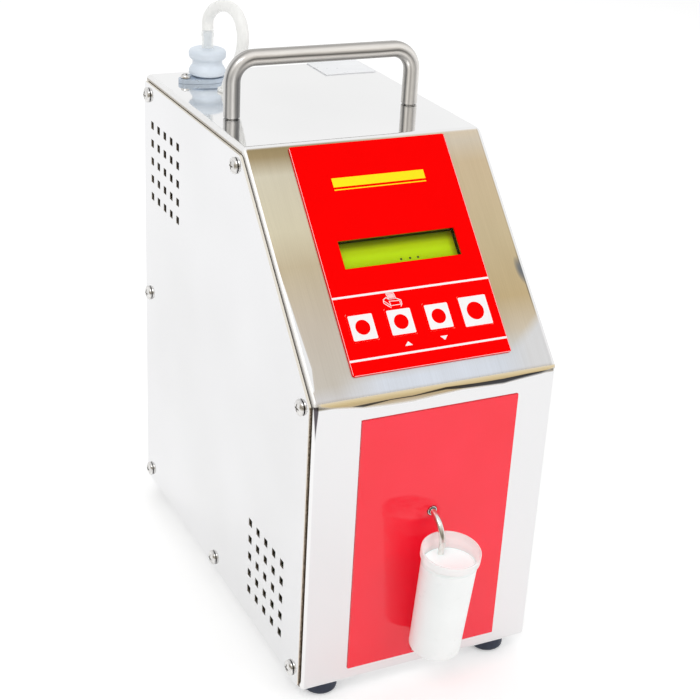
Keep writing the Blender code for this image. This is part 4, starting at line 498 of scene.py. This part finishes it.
M = {
    "cover": cover_steel(),
    "casing": casing_steel(),
    "handle": drawn_bar(),
    "rest": satin("rest_steel", (0.50, 0.47, 0.44), (0.72, 0.70, 0.67), 0.22, (0.15, 1, 1)),
    "pipe": satin("pipe_steel", (0.62, 0.60, 0.57), (0.90, 0.88, 0.85), 0.14, (1, 0.3, 0.3)),
    "screw": satin("screw_steel", (0.60, 0.59, 0.58), (0.86, 0.85, 0.83), 0.24, (1, 0.4, 1)),
    "chrome": satin("chrome", (0.70, 0.70, 0.70), (0.88, 0.88, 0.88), 0.12),
    "zinc": satin("zinc_plate", (0.45, 0.45, 0.43), (0.62, 0.62, 0.60), 0.40),
    "flange": moulded("flange_steel", (0.56, 0.64, 0.74), 0.30, 0.00002, 900, 0.2, 0.4),
    "overlay": overlay_film("overlay_film", 0.0),
    "key": overlay_film("key_film", 0.7),
    "label": glossy_film(),
    "red_print": moulded("red_print", (1.0, 0.0, 0.0), 0.40, spread=0.02, Specular_IOR_Level=0.02),
    "white_print": moulded("white_print", (0.94, 0.92, 0.92), 0.45, spread=0.03),
    "pale_print": moulded("pale_print", (1.0, 0.62, 0.62), 0.45, spread=0.03),
    "yellow_print": moulded("yellow_print", (0.98, 0.82, 0.01), 0.40, spread=0.02, Specular_IOR_Level=0.1),
    "black_metal": moulded("black_metal", (0.03, 0.03, 0.03), 0.40),
    "bezel": moulded("bezel_black", (0.030, 0.034, 0.006), 0.80, Specular_IOR_Level=0.02),
    "black_plastic": moulded("black_plastic", (0.018, 0.018, 0.020), 0.45),
    "grey_plastic": moulded("grey_plastic", (0.35, 0.36, 0.38), 0.50),
    "white_plastic": moulded("white_plastic", (0.80, 0.80, 0.78), 0.40),
    "rubber": moulded("foot_rubber", (0.018, 0.026, 0.050), 0.60, 0.00005, 1500, 0.2),
    "board": moulded("board_green", (0.02, 0.20, 0.07), 0.35, 0.00004, 900, 0.2),
    "fitting": moulded("fitting_plastic", (0.77, 0.84, 0.92), 0.34, 0.00002, 1200, 0.05),
    "plate": moulded("plate_film", (0.90, 0.91, 0.93), 0.30, spread=0.03),
    # The milk's faint cyan glow is painted light, which brightens it in the cup's shade and takes the pink off it.
    "milk": moulded("milk", (0.98, 0.975, 0.975), 0.20, 0.00001, 300, 0.01, Emission_Color=(0.45, 1.0, 1.0, 1),
                    Emission_Strength=0.15),
    "cup": cup_plastic(),
    "hose": silicone("hose_silicone", 0.72),
    "cuff": silicone("cuff_silicone", 0.30),
    "glass": moulded("window_pane", (0.10, 0.12, 0.04), 0.12, 0.000004, 900, 0.01, Alpha=0.03, IOR=1.3),
    "lcd": backlit_film(),
    "lcd_dot": moulded("lcd_dot", (0.05, 0.07, 0.02), 0.30, 0.000004, 900, 0.04, Specular_IOR_Level=0.1),
}

# ---------------------------------------------------------------- making pieces


def mesh_of(name, bm):
    mesh = bpy.data.meshes.new(name)
    bm.to_mesh(mesh)
    bm.free()
    return mesh


def piece(name, bm, kind, body="root", replaces=(), matrix=None, angle=35):
    """A finished piece: smooth shaded with sharp corners kept, on its body, with its material."""
    mesh = mesh_of(name, bm)
    if matrix is not None:
        mesh.transform(matrix)
    mesh.shade_smooth()
    mesh.set_sharp_from_angle(angle=radians(angle))
    mesh.materials.clear()
    mesh.materials.append(M[kind])
    obj = in_scene(name, mesh)
    modifier = obj.modifiers.new("weighted", "WEIGHTED_NORMAL")
    modifier.keep_sharp = True
    modifier.weight = 100
    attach(obj, body)
    if replaces:
        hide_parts(*replaces)
    return obj


# How far a seated piece's back goes down, in metres: nearly all of the gap that its solid leaves.
SEAT = 0.00027


def refined(node, kind, edge=0.0, segments=2, angle=35, seat=None, change=None):
    """The node's own solid with its corners rounded a little and its curves smooth, in the node's place.
    seat is the direction away from the surface that the piece lies on: its back then goes down to touch that."""
    bm = bmesh.new()
    bm.from_mesh(nodes[node].data)
    bmesh.ops.remove_doubles(bm, verts=bm.verts[:], dist=0.000004)
    bmesh.ops.dissolve_limit(bm, angle_limit=radians(1), verts=bm.verts[:], edges=bm.edges[:])
    if change:
        change(bm)
    if seat is not None:
        lowest = min(v.co.dot(seat) for v in bm.verts)
        for v in bm.verts:
            if v.co.dot(seat) < lowest + 0.00005:
                v.co -= seat * SEAT
    if edge:
        sharp = [e for e in bm.edges if e.is_manifold and e.calc_face_angle(0) > radians(40)]
        bmesh.ops.bevel(bm, geom=sharp, offset=edge, segments=segments, profile=0.5,
                        affect="EDGES", clamp_overlap=True)
    piece(node + "_skin", bm, kind, nodes[node]["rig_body"], [node], angle=angle)


def ring_line(r, sides=48):
    return [(r * cos(2 * pi * k / sides), r * sin(2 * pi * k / sides)) for k in range(sides)]


def lathe(profile, sides, closed=False):
    """A surface of revolution about z, from (radius, height) in millimetres."""
    bm = bmesh.new()
    rings = []
    for r, z in profile:
        circle = [(0, 0)] if r < 1e-6 else ring_line(r / 1000, sides)
        rings.append([bm.verts.new((x, y, z / 1000)) for x, y in circle])
    pairs = list(zip(rings, rings[1:]))
    if closed:
        pairs.append((rings[-1], rings[0]))
    for a, b in pairs:
        for k in range(sides):
            j = (k + 1) % sides
            corners = [a[k % len(a)], a[j % len(a)], b[j % len(b)], b[k % len(b)]]
            corners = [v for i, v in enumerate(corners) if v not in corners[:i]]
            if len(corners) > 2:
                bm.faces.new(corners)
    bmesh.ops.recalc_face_normals(bm, faces=bm.faces[:])
    return bm


def rounded(points, radius, steps):
    """The open line of points (r, z) with its inner corners rounded; radius may be a list."""
    out = [points[0]]
    radii = radius if isinstance(radius, list) else [radius] * len(points)
    for i in range(1, len(points) - 1):
        a, b, c = (Vector(points[j]) for j in (i - 1, i, i + 1))
        u, v = (a - b), (c - b)
        r = min(radii[i], u.length * 0.49, v.length * 0.49)
        if r < 1e-5 or u.length < 1e-6 or v.length < 1e-6:
            out.append(points[i])
            continue
        p, q = b + u.normalized() * r, b + v.normalized() * r
        for k in range(steps + 1):
            t = k / steps
            out.append(tuple(p * (1 - t) ** 2 + b * 2 * t * (1 - t) + q * t ** 2))
    out.append(points[-1])
    return out


def sweep(points, radius, sides, start=None):
    """A closed tube along points in the row frame; radius is one number or one per point, in metres.
    Its UV map holds the place round the tube, from 0 to 1, and the centimetres along it."""
    bm = bmesh.new()
    pts = [Vector(p) for p in points]
    radii = radius if isinstance(radius, list) else [radius] * len(pts)
    tangents = [(pts[min(i + 1, len(pts) - 1)] - pts[max(i - 1, 0)]).normalized() for i in range(len(pts))]
    side = Vector(start) if start else tangents[0].orthogonal().normalized()
    rings = []
    for p, t, r in zip(pts, tangents, radii):
        side = (side - t * side.dot(t)).normalized()
        other = t.cross(side)
        rings.append([bm.verts.new(p + (side * cos(2 * pi * k / sides) + other * sin(2 * pi * k / sides)) * r)
                      for k in range(sides)])
    uv = bm.loops.layers.uv.new("round_and_along")
    lengths = [0.0]
    for a, b in zip(pts, pts[1:]):
        lengths.append(lengths[-1] + (b - a).length * 100)
    for i, (a, b) in enumerate(zip(rings, rings[1:])):
        for k in range(sides):
            j = (k + 1) % sides
            face = bm.faces.new((a[k], a[j], b[j], b[k]))
            for loop, u, v in zip(face.loops, (k, k + 1, k + 1, k), (i, i, i + 1, i + 1)):
                loop[uv].uv = (u / sides, lengths[v])
    bm.faces.new(rings[0][::-1])
    bm.faces.new(rings[-1])
    bmesh.ops.recalc_face_normals(bm, faces=bm.faces[:])
    return bm


def smooth_line(points, steps):
    """A Catmull-Rom line through the points."""
    pts = [Vector(p) for p in points]
    ends = [pts[0] * 2 - pts[1], *pts, pts[-1] * 2 - pts[-2]]
    out = []
    for a, b, c, d in zip(ends, ends[1:], ends[2:], ends[3:]):
        for k in range(steps):
            t = k / steps
            out.append(0.5 * (2 * b + (c - a) * t + (2 * a - 5 * b + 4 * c - d) * t ** 2
                              + (3 * b - a - 3 * c + d) * t ** 3))
    out.append(pts[-1])
    return out


def slab(outline, thick):
    """A flat piece from a closed outline in the xy plane, in millimetres, with z from 0 to thick."""
    bm = bmesh.new()
    verts = [bm.verts.new((x / 1000, y / 1000, 0)) for x, y in outline]
    for a, b in zip(verts, verts[1:] + verts[:1]):
        bm.edges.new((a, b))
    bmesh.ops.triangle_fill(bm, edges=bm.edges[:], use_beauty=True)
    bmesh.ops.dissolve_limit(bm, angle_limit=radians(1), verts=bm.verts[:], edges=bm.edges[:])
    made = bmesh.ops.extrude_face_region(bm, geom=bm.faces[:])
    raised = [g for g in made["geom"] if isinstance(g, bmesh.types.BMVert)]
    bmesh.ops.translate(bm, vec=(0, 0, thick / 1000), verts=raised)
    bmesh.ops.recalc_face_normals(bm, faces=bm.faces[:])
    return bm


def box_line(w, h, x=0, y=0, r=0.0):
    """A rectangle's outline, with rounded corners where r is given."""
    if not r:
        return [(x - w / 2, y - h / 2), (x + w / 2, y - h / 2), (x + w / 2, y + h / 2), (x - w / 2, y + h / 2)]
    steps = 5
    out = []
    for cx, cy, start in ((x + w / 2 - r, y - h / 2 + r, -90), (x + w / 2 - r, y + h / 2 - r, 0),
                          (x - w / 2 + r, y + h / 2 - r, 90), (x - w / 2 + r, y - h / 2 + r, 180)):
        out += [(cx + r * cos(radians(start + 90 * k / steps)), cy + r * sin(radians(start + 90 * k / steps)))
                for k in range(steps + 1)]
    return out


def joined(*meshes):
    """Several bmeshes as one."""
    whole = bmesh.new()
    for bm in meshes:
        part = mesh_of("part", bm)
        whole.from_mesh(part)
        bpy.data.meshes.remove(part)
    return whole


# ---------------------------------------------------------------- casing, cover, feet and screws

refined("casing_shell", "casing", angle=36)
refined("side_cover", "cover", edge=0.00022)
for corner in ("front_left", "front_right", "rear_left", "rear_right"):
    refined("foot_" + corner, "rubber")
for number in range(1, 8):
    refined(f"cover_screw_{number}", "screw", edge=0.00008, segments=1)
refined("flange_screw", "screw", edge=0.00008, segments=1)

# ---------------------------------------------------------------- handle

HANDLE_X, HANDLE_Y, HANDLE_HALF, HANDLE_RISE, HANDLE_BEND = 62.05, 131.6, 47.5, 28.3, 11.0
BAR_RADIUS, STUD_RADIUS, SHOULDER_RADIUS = 4.0, 3.0, 3.85


def handle_line():
    """Points and radii of the bar, from one stud's end to the other's."""
    leg = [(-11.0, STUD_RADIUS), (-0.05, STUD_RADIUS), (0.35, STUD_RADIUS), (0.55, SHOULDER_RADIUS),
           (0.75, BAR_RADIUS), (2.0, BAR_RADIUS), (9.0, BAR_RADIUS)]
    half = [(HANDLE_HALF, z) for z, _ in leg]
    radii = [r for _, r in leg]
    for k in range(13):
        a = pi / 2 * k / 12
        half.append((HANDLE_HALF - HANDLE_BEND + HANDLE_BEND * cos(a),
                     HANDLE_RISE - HANDLE_BEND + HANDLE_BEND * sin(a)))
        radii.append(BAR_RADIUS)
    points = [P(HANDLE_X + x, HANDLE_Y, HEIGHT + z) for x, z in half]
    points += [P(HANDLE_X - x, HANDLE_Y, HEIGHT + z) for x, z in reversed(half)]
    return points, [r / 1000 for r in radii + radii[::-1]]


piece("handle_bar", sweep(*handle_line(), 40, start=(1, 0, 0)), "handle", replaces=["carry_handle"],
      angle=50)
for side in ("left", "right"):
    refined("handle_nut_" + side, "zinc")

# ---------------------------------------------------------------- panel: overlay, prints, keys and display


def wider_window(bm):
    """Puts the sides of the cut window, or of its pane, where the photograph has them."""
    centre, half = S(63.45, 66.5, 0), Vector((0.0294, 0.0064))
    new, new_half = S(63.65, 66.9, 0), Vector((0.0297, 0.00685))
    near = 0.001
    for v in bm.verts:
        x, s = (v.co - centre).x, (v.co - centre).dot(UP_SLOPE)
        if abs(x) < half.x + near and abs(s) < half.y + near:
            move_x = (new.x - centre.x) + (new_half.x - half.x) * (1 if x > 0 else -1)
            move_s = (new - centre).dot(UP_SLOPE) + (new_half.y - half.y) * (1 if s > 0 else -1)
            v.co += Vector((move_x, 0, 0)) + UP_SLOPE * move_s


refined("keypad_overlay", "overlay", edge=0.00010, seat=OFF_SLOPE, change=wider_window)

PRINT = 0.03


def printed(name, outlines, kind):
    """Flat prints on the film, from closed outlines in millimetres across and up the slope."""
    flats = joined(*[slab(outline, PRINT) for outline in outlines])
    piece(name, flats, kind, matrix=slope_frame(0, 0, FILM_TOP))


def band(x0, x1, s0, s1):
    return box_line(x1 - x0, s1 - s0, (x0 + x1) / 2, (s0 + s1) / 2)


# The film's edges, and the pale rim along them: its two sides and its ends, measured inwards.
LEFT, RIGHT, LOW, HIGH = 23.25, 103.25, 10.4, 121.4
RIM_OUT, RIM_IN, RIM_END = 0.1, 0.32, 0.8
RULE_END = 0.3
printed("panel_rim", [
    band(LEFT + RIM_OUT, LEFT + RIM_IN, LOW + RIM_END, HIGH - RIM_END),
    band(RIGHT - RIM_IN, RIGHT - RIM_OUT, LOW + RIM_END, HIGH - RIM_END),
    band(LEFT + RIM_END, RIGHT - RIM_END, LOW + RIM_OUT, LOW + RIM_IN)], "pale_print")
rules = [band(LEFT + RULE_END, RIGHT - RULE_END, low, high) for low, high in ((46.5, 47.5), (16.9, 17.9))]
arrows = [[(51.8, 20.7), (55.6, 20.7), (53.7, 22.7)], [(70.0, 22.7), (71.9, 20.7), (73.8, 22.7)]]
printed("panel_lines", rules + arrows, "white_print")


def outlined(points, wide):
    """A closed line of that width along the points."""
    loops = []
    for a, b in zip(points, points[1:] + points[:1]):
        a, b = Vector(a), Vector(b)
        along = (b - a).normalized() * (wide / 2)
        off = Vector((-along.y, along.x))
        loops.append([tuple(a - along - off), tuple(b + along - off), tuple(b + along + off), tuple(a - along + off)])
    return loops


SIGN_X, SIGN_S = 52.1, 41.6


def at_sign(*points):
    return [(SIGN_X + x, SIGN_S + s) for x, s in points]


printer = outlined(at_sign((-2.4, 4.5), (1.3, 4.5), (1.8, 1.8), (-1.6, 1.7)), 0.34)
printer += outlined(at_sign((-4.4, 1.9), (-2.8, 2.7), (-1.6, 1.7), (1.8, 1.8), (4.0, 0.7), (4.0, -1.2), (2.9, -2.9),
                            (-1.3, -2.7), (-4.6, 0.2)), 0.36)
printer += outlined(at_sign((-1.8, 0.8), (3.3, 0.5), (3.4, -1.3), (-1.5, -1.4)), 0.28)
printer += outlined(at_sign((-4.2, 1.2), (-1.4, -1.6)), 0.28)[:1]
paper = at_sign((-2.0, 4.1), (1.0, 4.1), (1.4, 2.2), (-1.3, 2.1))
printed("printer_paper", [paper], "pale_print")
printed("printer_sign", printer, "white_print")
printed("panel_band", [band(39.6, 86.7, 99.6, 104.1)], "yellow_print")
printed("panel_band_line", [band(39.6, 86.6, 98.0, 98.5)], "yellow_print")


def lowered_rim(bm):
    """Lets the cap's lower rim go a little way into the film, so that its rounding leaves no groove."""
    foot = S(0, 0, FILM_TOP).dot(OFF_SLOPE)
    for v in bm.verts:
        if abs(v.co.dot(OFF_SLOPE) - foot) < 0.0001:
            v.co -= OFF_SLOPE * 0.0002


# Each key's place across the panel, and the sizes of its white square and its red disc.
KEYS = (("key_mode", 33.95, 11.8, 7.05), ("key_up", 52.95, 11.8, 7.05), ("key_down", 71.95, 11.8, 7.05),
        ("key_ok", 90.95, 14.2, 8.6))
KEY_PRINT_S = 32.0
for name, x, side, disc in KEYS:
    refined(name, "key", edge=0.00018, change=lowered_rim)
    piece(name + "_square", slab(box_line(side, side, r=0.5), PRINT), "white_print", name,
          matrix=slope_frame(x, KEY_PRINT_S, KEY_TOP))
    piece(name + "_disc", slab(ring_line(disc / 2), PRINT), "red_print", name,
          matrix=slope_frame(x, KEY_PRINT_S, KEY_TOP + PRINT))

refined("display_window", "glass", change=wider_window)
refined("lcd_bezel", "bezel", edge=0.00015)
refined("lcd_glass", "lcd")
refined("lcd_board", "board")
refined("keypad_board", "board")
dots = joined(*[slab(box_line(1.0, 1.0, x, 63.0), 0.01) for x in (64.5, 69.1, 73.2)])
piece("lcd_dots", dots, "lcd_dot", matrix=slope_frame(0, 0, GLASS + 0.016))

# ---------------------------------------------------------------- front: label, pipe, cup and milk

refined("front_label", "label", edge=0.0001, seat=Vector((0, -1, 0)))
refined("pipe_bush", "chrome")
refined("cup_rest", "rest", edge=0.0002)

LEAN = radians(7.4)
PIPE_X, PIPE_Z, PIPE_BEND, PIPE_DROP, PIPE_INNER_END = 64.15, 86.5, 12.0, 49.0, 21.7
PIPE_RADIUS = 0.0015


def pipe_line():
    """The pipe's middle: straight out of the casing, bent down, and straight into the cup at the cup's lean."""
    points = [(PIPE_INNER_END, PIPE_Z), (12.0, PIPE_Z), (4.0, PIPE_Z)]
    for k in range(19):
        a = pi / 2 + (pi / 2 + LEAN) * k / 18
        points.append((PIPE_BEND * cos(a), PIPE_Z - PIPE_BEND + PIPE_BEND * sin(a)))
    y, z = points[-1]
    straight = PIPE_DROP - (PIPE_Z - z)
    for share in (0.3, 0.6, 1.0):
        points.append((y + straight * sin(LEAN) / cos(LEAN) * share, z - straight * share))
    return [P(PIPE_X, y, z) for y, z in points]


piece("pipe_tube", sweep(pipe_line(), PIPE_RADIUS, 28), "pipe", replaces=["intake_pipe"], angle=60)

CUP_Y, CUP_Z = -13.2, 20.0
CUP_FRAME = Matrix.Translation(P(PIPE_X, CUP_Y, CUP_Z)) @ Matrix.Rotation(LEAN, 4, "X")
CUP_LENGTH, CUP_WALL, CUP_SIDES = 57.5, 0.75, 72
LIP_RADIUS = 13.9
MILK_INSET = 1.05


def cup_r(z):
    """The cup's outer radius at a height above its bottom, below its lip."""
    return 12.2 + 0.8 * z / CUP_LENGTH


# The cup's outline, from the middle of its foot, up its outer wall, over its lip and down its inner wall.
foot = [(0, 0.5), (8.6, 0.5), (8.9, 0.0), (9.8, 0.0)]
bottom_edge = rounded([(9.8, 0.0), (12.25, 0.0), (cup_r(10), 10)], 2.4, 8)[1:]
walls_and_lip = rounded(
    [(cup_r(30), 30), (cup_r(52.4), 52.4), (LIP_RADIUS, 53.4), (LIP_RADIUS, CUP_LENGTH), (13.1, CUP_LENGTH),
     (12.9, 53.8), (cup_r(51.5) - CUP_WALL, 51.5), (cup_r(4) - CUP_WALL, 4), (11.0, 1.2), (0, 1.2)],
    [0, 0.3, 0.35, 0.42, 0.42, 0.3, 0.4, 0.3, 1.2, 0], 4)[1:]
cup_profile = foot + bottom_edge + [(cup_r(30), 30)] + walls_and_lip
cup = piece("cup_shell", lathe(cup_profile, CUP_SIDES), "cup", "cup", ["sample_cup"], CUP_FRAME,
            angle=40)
cup.visible_shadow = False


def milk_mesh():
    """The milk inside the cup's wall, cut level at its surface, with a small meniscus at the wall."""
    bm = bmesh.new()
    bottom = 1.5
    rings = []
    for z in (bottom, 2.6, 10, 20, 30, 38):
        r = (cup_r(z) - 2.4) if z == bottom else cup_r(z) - MILK_INSET
        rings.append([(x, y, z) for x, y in ring_line(r, CUP_SIDES)])
    for inset, extra in ((0.0, 0.45), (0.35, 0.12), (0.9, 0.0), (6.0, 0.0)):
        ring = []
        for x, y in ring_line(cup_r(47) - MILK_INSET - inset, CUP_SIDES):
            ring.append((x, y, (MILK_LEVEL + extra - CUP_Z - sin(LEAN) * y) / cos(LEAN)))
        rings.append(ring)
    made = [[bm.verts.new((x / 1000, y / 1000, z / 1000)) for x, y, z in ring] for ring in rings]
    for a, b in zip(made, made[1:]):
        for k in range(CUP_SIDES):
            j = (k + 1) % CUP_SIDES
            bm.faces.new((a[k], a[j], b[j], b[k]))
    bm.faces.new(made[0][::-1])
    bm.faces.new(made[-1])
    bmesh.ops.recalc_face_normals(bm, faces=bm.faces[:])
    return bm


piece("milk_body", milk_mesh(), "milk", "cup", ["milk_sample"], CUP_FRAME, angle=60)

# ---------------------------------------------------------------- hose fitting, flange and hose

AT_FITTING = Matrix.Translation(P(28.0, 199.8, HEIGHT))
spool = rounded(
    [(6.0, -9.0), (6.0, 2.85), (8.2, 2.9), (9.5, 3.6), (9.5, 5.3), (8.8, 6.9), (7.75, 8.3), (7.6, 9.3), (7.8, 10.8),
     (9.0, 11.4), (9.6, 12.6), (9.6, 14.7), (8.8, 15.9), (7.0, 16.35), (2.9, 16.45), (2.0, 16.9), (2.0, 22.4),
     (2.4, 22.7), (2.4, 24.7), (1.8, 25.4), (0, 25.4)],
    [0, 0.3, 0.8, 1.2, 1.2, 1.2, 1.0, 1.0, 1.0, 1.0, 1.2, 1.2, 1.2, 1.2, 0.6, 0.4, 0.15, 0.15, 0.4, 0.4, 0], 5)
piece("spool", lathe([(0, -9.0), *spool], 72), "fitting", replaces=["fitting_body"],
      matrix=AT_FITTING, angle=50)
refined("fitting_flange", "flange", edge=0.0005, segments=3, seat=Vector((0, 0, 1)))
refined("hose_grommet", "hose")

HOSE_RADIUS = 0.003
ROUTE = [(28.0, 199.8, 264.5), (28.0, 199.8, 269.0), (28.3, 197.2, 273.0), (28.7, 192.5, 276.5), (29.4, 184.5, 279.7),
         (30.3, 176.5, 280.8), (31.1, 169.6, 279.6), (31.6, 165.1, 276.5), (31.9, 162.8, 272.5), (32.0, 162.0, 268.0),
         (31.8, 162.8, 262.5), (31.4, 165.5, 256.5), (30.8, 170.2, 250.0), (30.3, 174.5, 245.0), (30.0, 176.7, 241.3),
         (30.0, 177.0, 239.0), (30.0, 177.0, 237.0), (30.0, 177.0, 230.0)]
hose_line = smooth_line([P(*p) for p in ROUTE], 8)
hose = piece("hose_loop", sweep(hose_line, HOSE_RADIUS, 32), "hose", replaces=["top_hose"], angle=60)
cuff = lathe([(2.95, 16.6), (3.05, 16.8), (3.05, 21.8), (3.3, 22.9), (3.3, 24.3), (3.05, 25.6), (3.0, 25.75),
              (2.5, 25.75), (2.55, 24.8), (2.55, 22.6), (2.2, 22.2), (2.2, 16.8), (2.3, 16.6)], 48, closed=True)
hose_end = piece("hose_cuff", cuff, "cuff", matrix=AT_FITTING, angle=60)

# ---------------------------------------------------------------- top plate, rear panel and inside

refined("type_plate", "plate", edge=0.00008, segments=1, seat=Vector((0, 0, 1)))
for node, kind, edge in (
        ("power_inlet", "black_plastic", 0.0003), ("switch_frame", "black_plastic", 0.0003),
        ("power_rocker", "black_plastic", 0.0002), ("serial_port", "zinc", 0.0002),
        ("fuse_holder", "black_plastic", 0.0002), ("main_board", "board", 0.0),
        ("board_bracket", "zinc", 0.0), ("mains_transformer", "black_metal", 0.0003),
        ("sensor_block", "grey_plastic", 0.0), ("sensor_bracket", "zinc", 0.0),
        ("pump_housing", "grey_plastic", 0.0003), ("pump_motor", "zinc", 0.0), ("pump_bracket", "zinc", 0.0),
        ("pump_tube", "hose", 0.0), ("pump_rotor", "grey_plastic", 0.0), ("pump_roller_1", "white_plastic", 0.0002),
        ("pump_roller_2", "white_plastic", 0.0002), ("pump_roller_3", "white_plastic", 0.0002)):
    refined(node, kind, edge=edge)

# ---------------------------------------------------------------- stage: floor, world and lamps


def seen(n):
    """1 for the camera's rays and for those that mirrors and glass pass on, and 0 for the light itself."""
    path = n.add("LightPath").outputs
    mirrored = n.math("MAXIMUM", path["Is Glossy Ray"], path["Is Transmission Ray"])
    return n.math("MAXIMUM", path["Is Camera Ray"], mirrored)


FLOOR_HALF, FLOOR_GAP = 3.0, 0.0004
bm = bmesh.new()
bmesh.ops.create_grid(bm, x_segments=1, y_segments=1, size=FLOOR_HALF)
floor = in_scene("floor", mesh_of("floor", bm))
floor.location.z = -FLOOR_GAP
floor_paper, n = material("floor_paper", (0.9, 0.9, 0.9), 0.9, Specular_IOR_Level=0.0)
glow = n.add("Emission", {"Color": (1, 1, 1, 1), "Strength": n.product(seen(n), 0.30)})
both = n.add("AddShader")
n.put(both.inputs[0], n.shader.outputs[0])
n.put(both.inputs[1], glow.outputs[0])
n.put(floor_paper.node_tree.nodes["Material Output"].inputs["Surface"], both.outputs[0])
floor.data.materials.append(floor_paper)

world = bpy.data.worlds.new("studio")
bpy.context.scene.world = world
world.use_nodes = True
n = Nodes(world.node_tree)
background = world.node_tree.nodes["Background"]
background.inputs["Color"].default_value = (1, 1, 1, 1)
n.put(background.inputs["Strength"], n.math("MULTIPLY_ADD", seen(n), 0.36, 0.64))


def screen(name, rows, middle, half):
    """A strip of card standing on the floor round the object, which only mirrors see. Each row is a distance from
    the object, a height, and the colour there. middle and half say which way it stands and how far it reaches
    to each side, in degrees from the front."""
    steps = 24
    last = len(rows) - 1
    bm = bmesh.new()
    turns = [radians(middle - half + 2 * half * k / steps) for k in range(steps + 1)]
    lines = [[bm.verts.new((far * sin(a), -far * cos(a), z)) for a in turns] for far, z, _ in rows]
    uv = bm.loops.layers.uv.new("rise")
    for i, (low, high) in enumerate(zip(lines, lines[1:])):
        for k in range(steps):
            face = bm.faces.new((low[k], low[k + 1], high[k + 1], high[k]))
            for loop, step in zip(face.loops, (i, i, i + 1, i + 1)):
                loop[uv].uv = (0.5, step / last)
    obj = in_scene(name, mesh_of(name, bm))
    obj.visible_camera = obj.visible_diffuse = obj.visible_shadow = obj.visible_transmission = False
    card = bpy.data.materials.new(name)
    card.use_nodes = True
    n = Nodes(card.node_tree)
    card.node_tree.nodes.remove(n.shader)
    rise = n.parts(n.add("UVMap", uv_map="rise").outputs["UV"])["Y"]
    glow = n.add("Emission", {"Color": n.ramp(rise, [(i / last, c) for i, (_, _, c) in enumerate(rows)])})
    n.put(card.node_tree.nodes["Material Output"].inputs["Surface"], glow.outputs[0])
    obj.data.materials.append(card)


screen("front_screen", [
    (0.52, 0.002, (0.96, 0.95, 0.93)), (0.66, 0.002, (0.80, 0.77, 0.71)), (0.90, 0.002, (0.55, 0.51, 0.44)),
    (0.90, 0.07, (0.40, 0.36, 0.29)), (0.90, 0.15, (0.27, 0.24, 0.19)), (0.90, 0.25, (0.29, 0.26, 0.21)),
    (0.90, 0.36, (0.45, 0.41, 0.34)), (0.90, 0.50, (0.66, 0.61, 0.53)), (0.90, 0.66, (0.83, 0.78, 0.70)),
    (0.90, 0.86, (0.94, 0.91, 0.86)), (0.95, 1.05, (1.0, 0.98, 0.95))], -27, 70)


def lamp(name, place, aim, size, power, glossy=True):
    light = bpy.data.lights.new(name, "AREA")
    light.shape = "RECTANGLE"
    light.size, light.size_y = size
    light.energy = power
    obj = in_scene(name, light)
    obj.location = place
    obj.rotation_euler = (Vector(aim) - Vector(place)).to_track_quat("-Z", "Y").to_euler()
    obj.visible_glossy = glossy


lamp("key_lamp", (-0.9, -0.9, 1.5), (0, 0, 0.12), (0.9, 0.9), 8.0)
lamp("fill_lamp", (0.9, -1.3, 0.7), (0, 0, 0.12), (1.0, 1.0), 5.5, False)
lamp("back_lamp", (0.3, 1.3, 1.2), (0, 0, 0.15), (1.0, 0.8), 4.0, False)
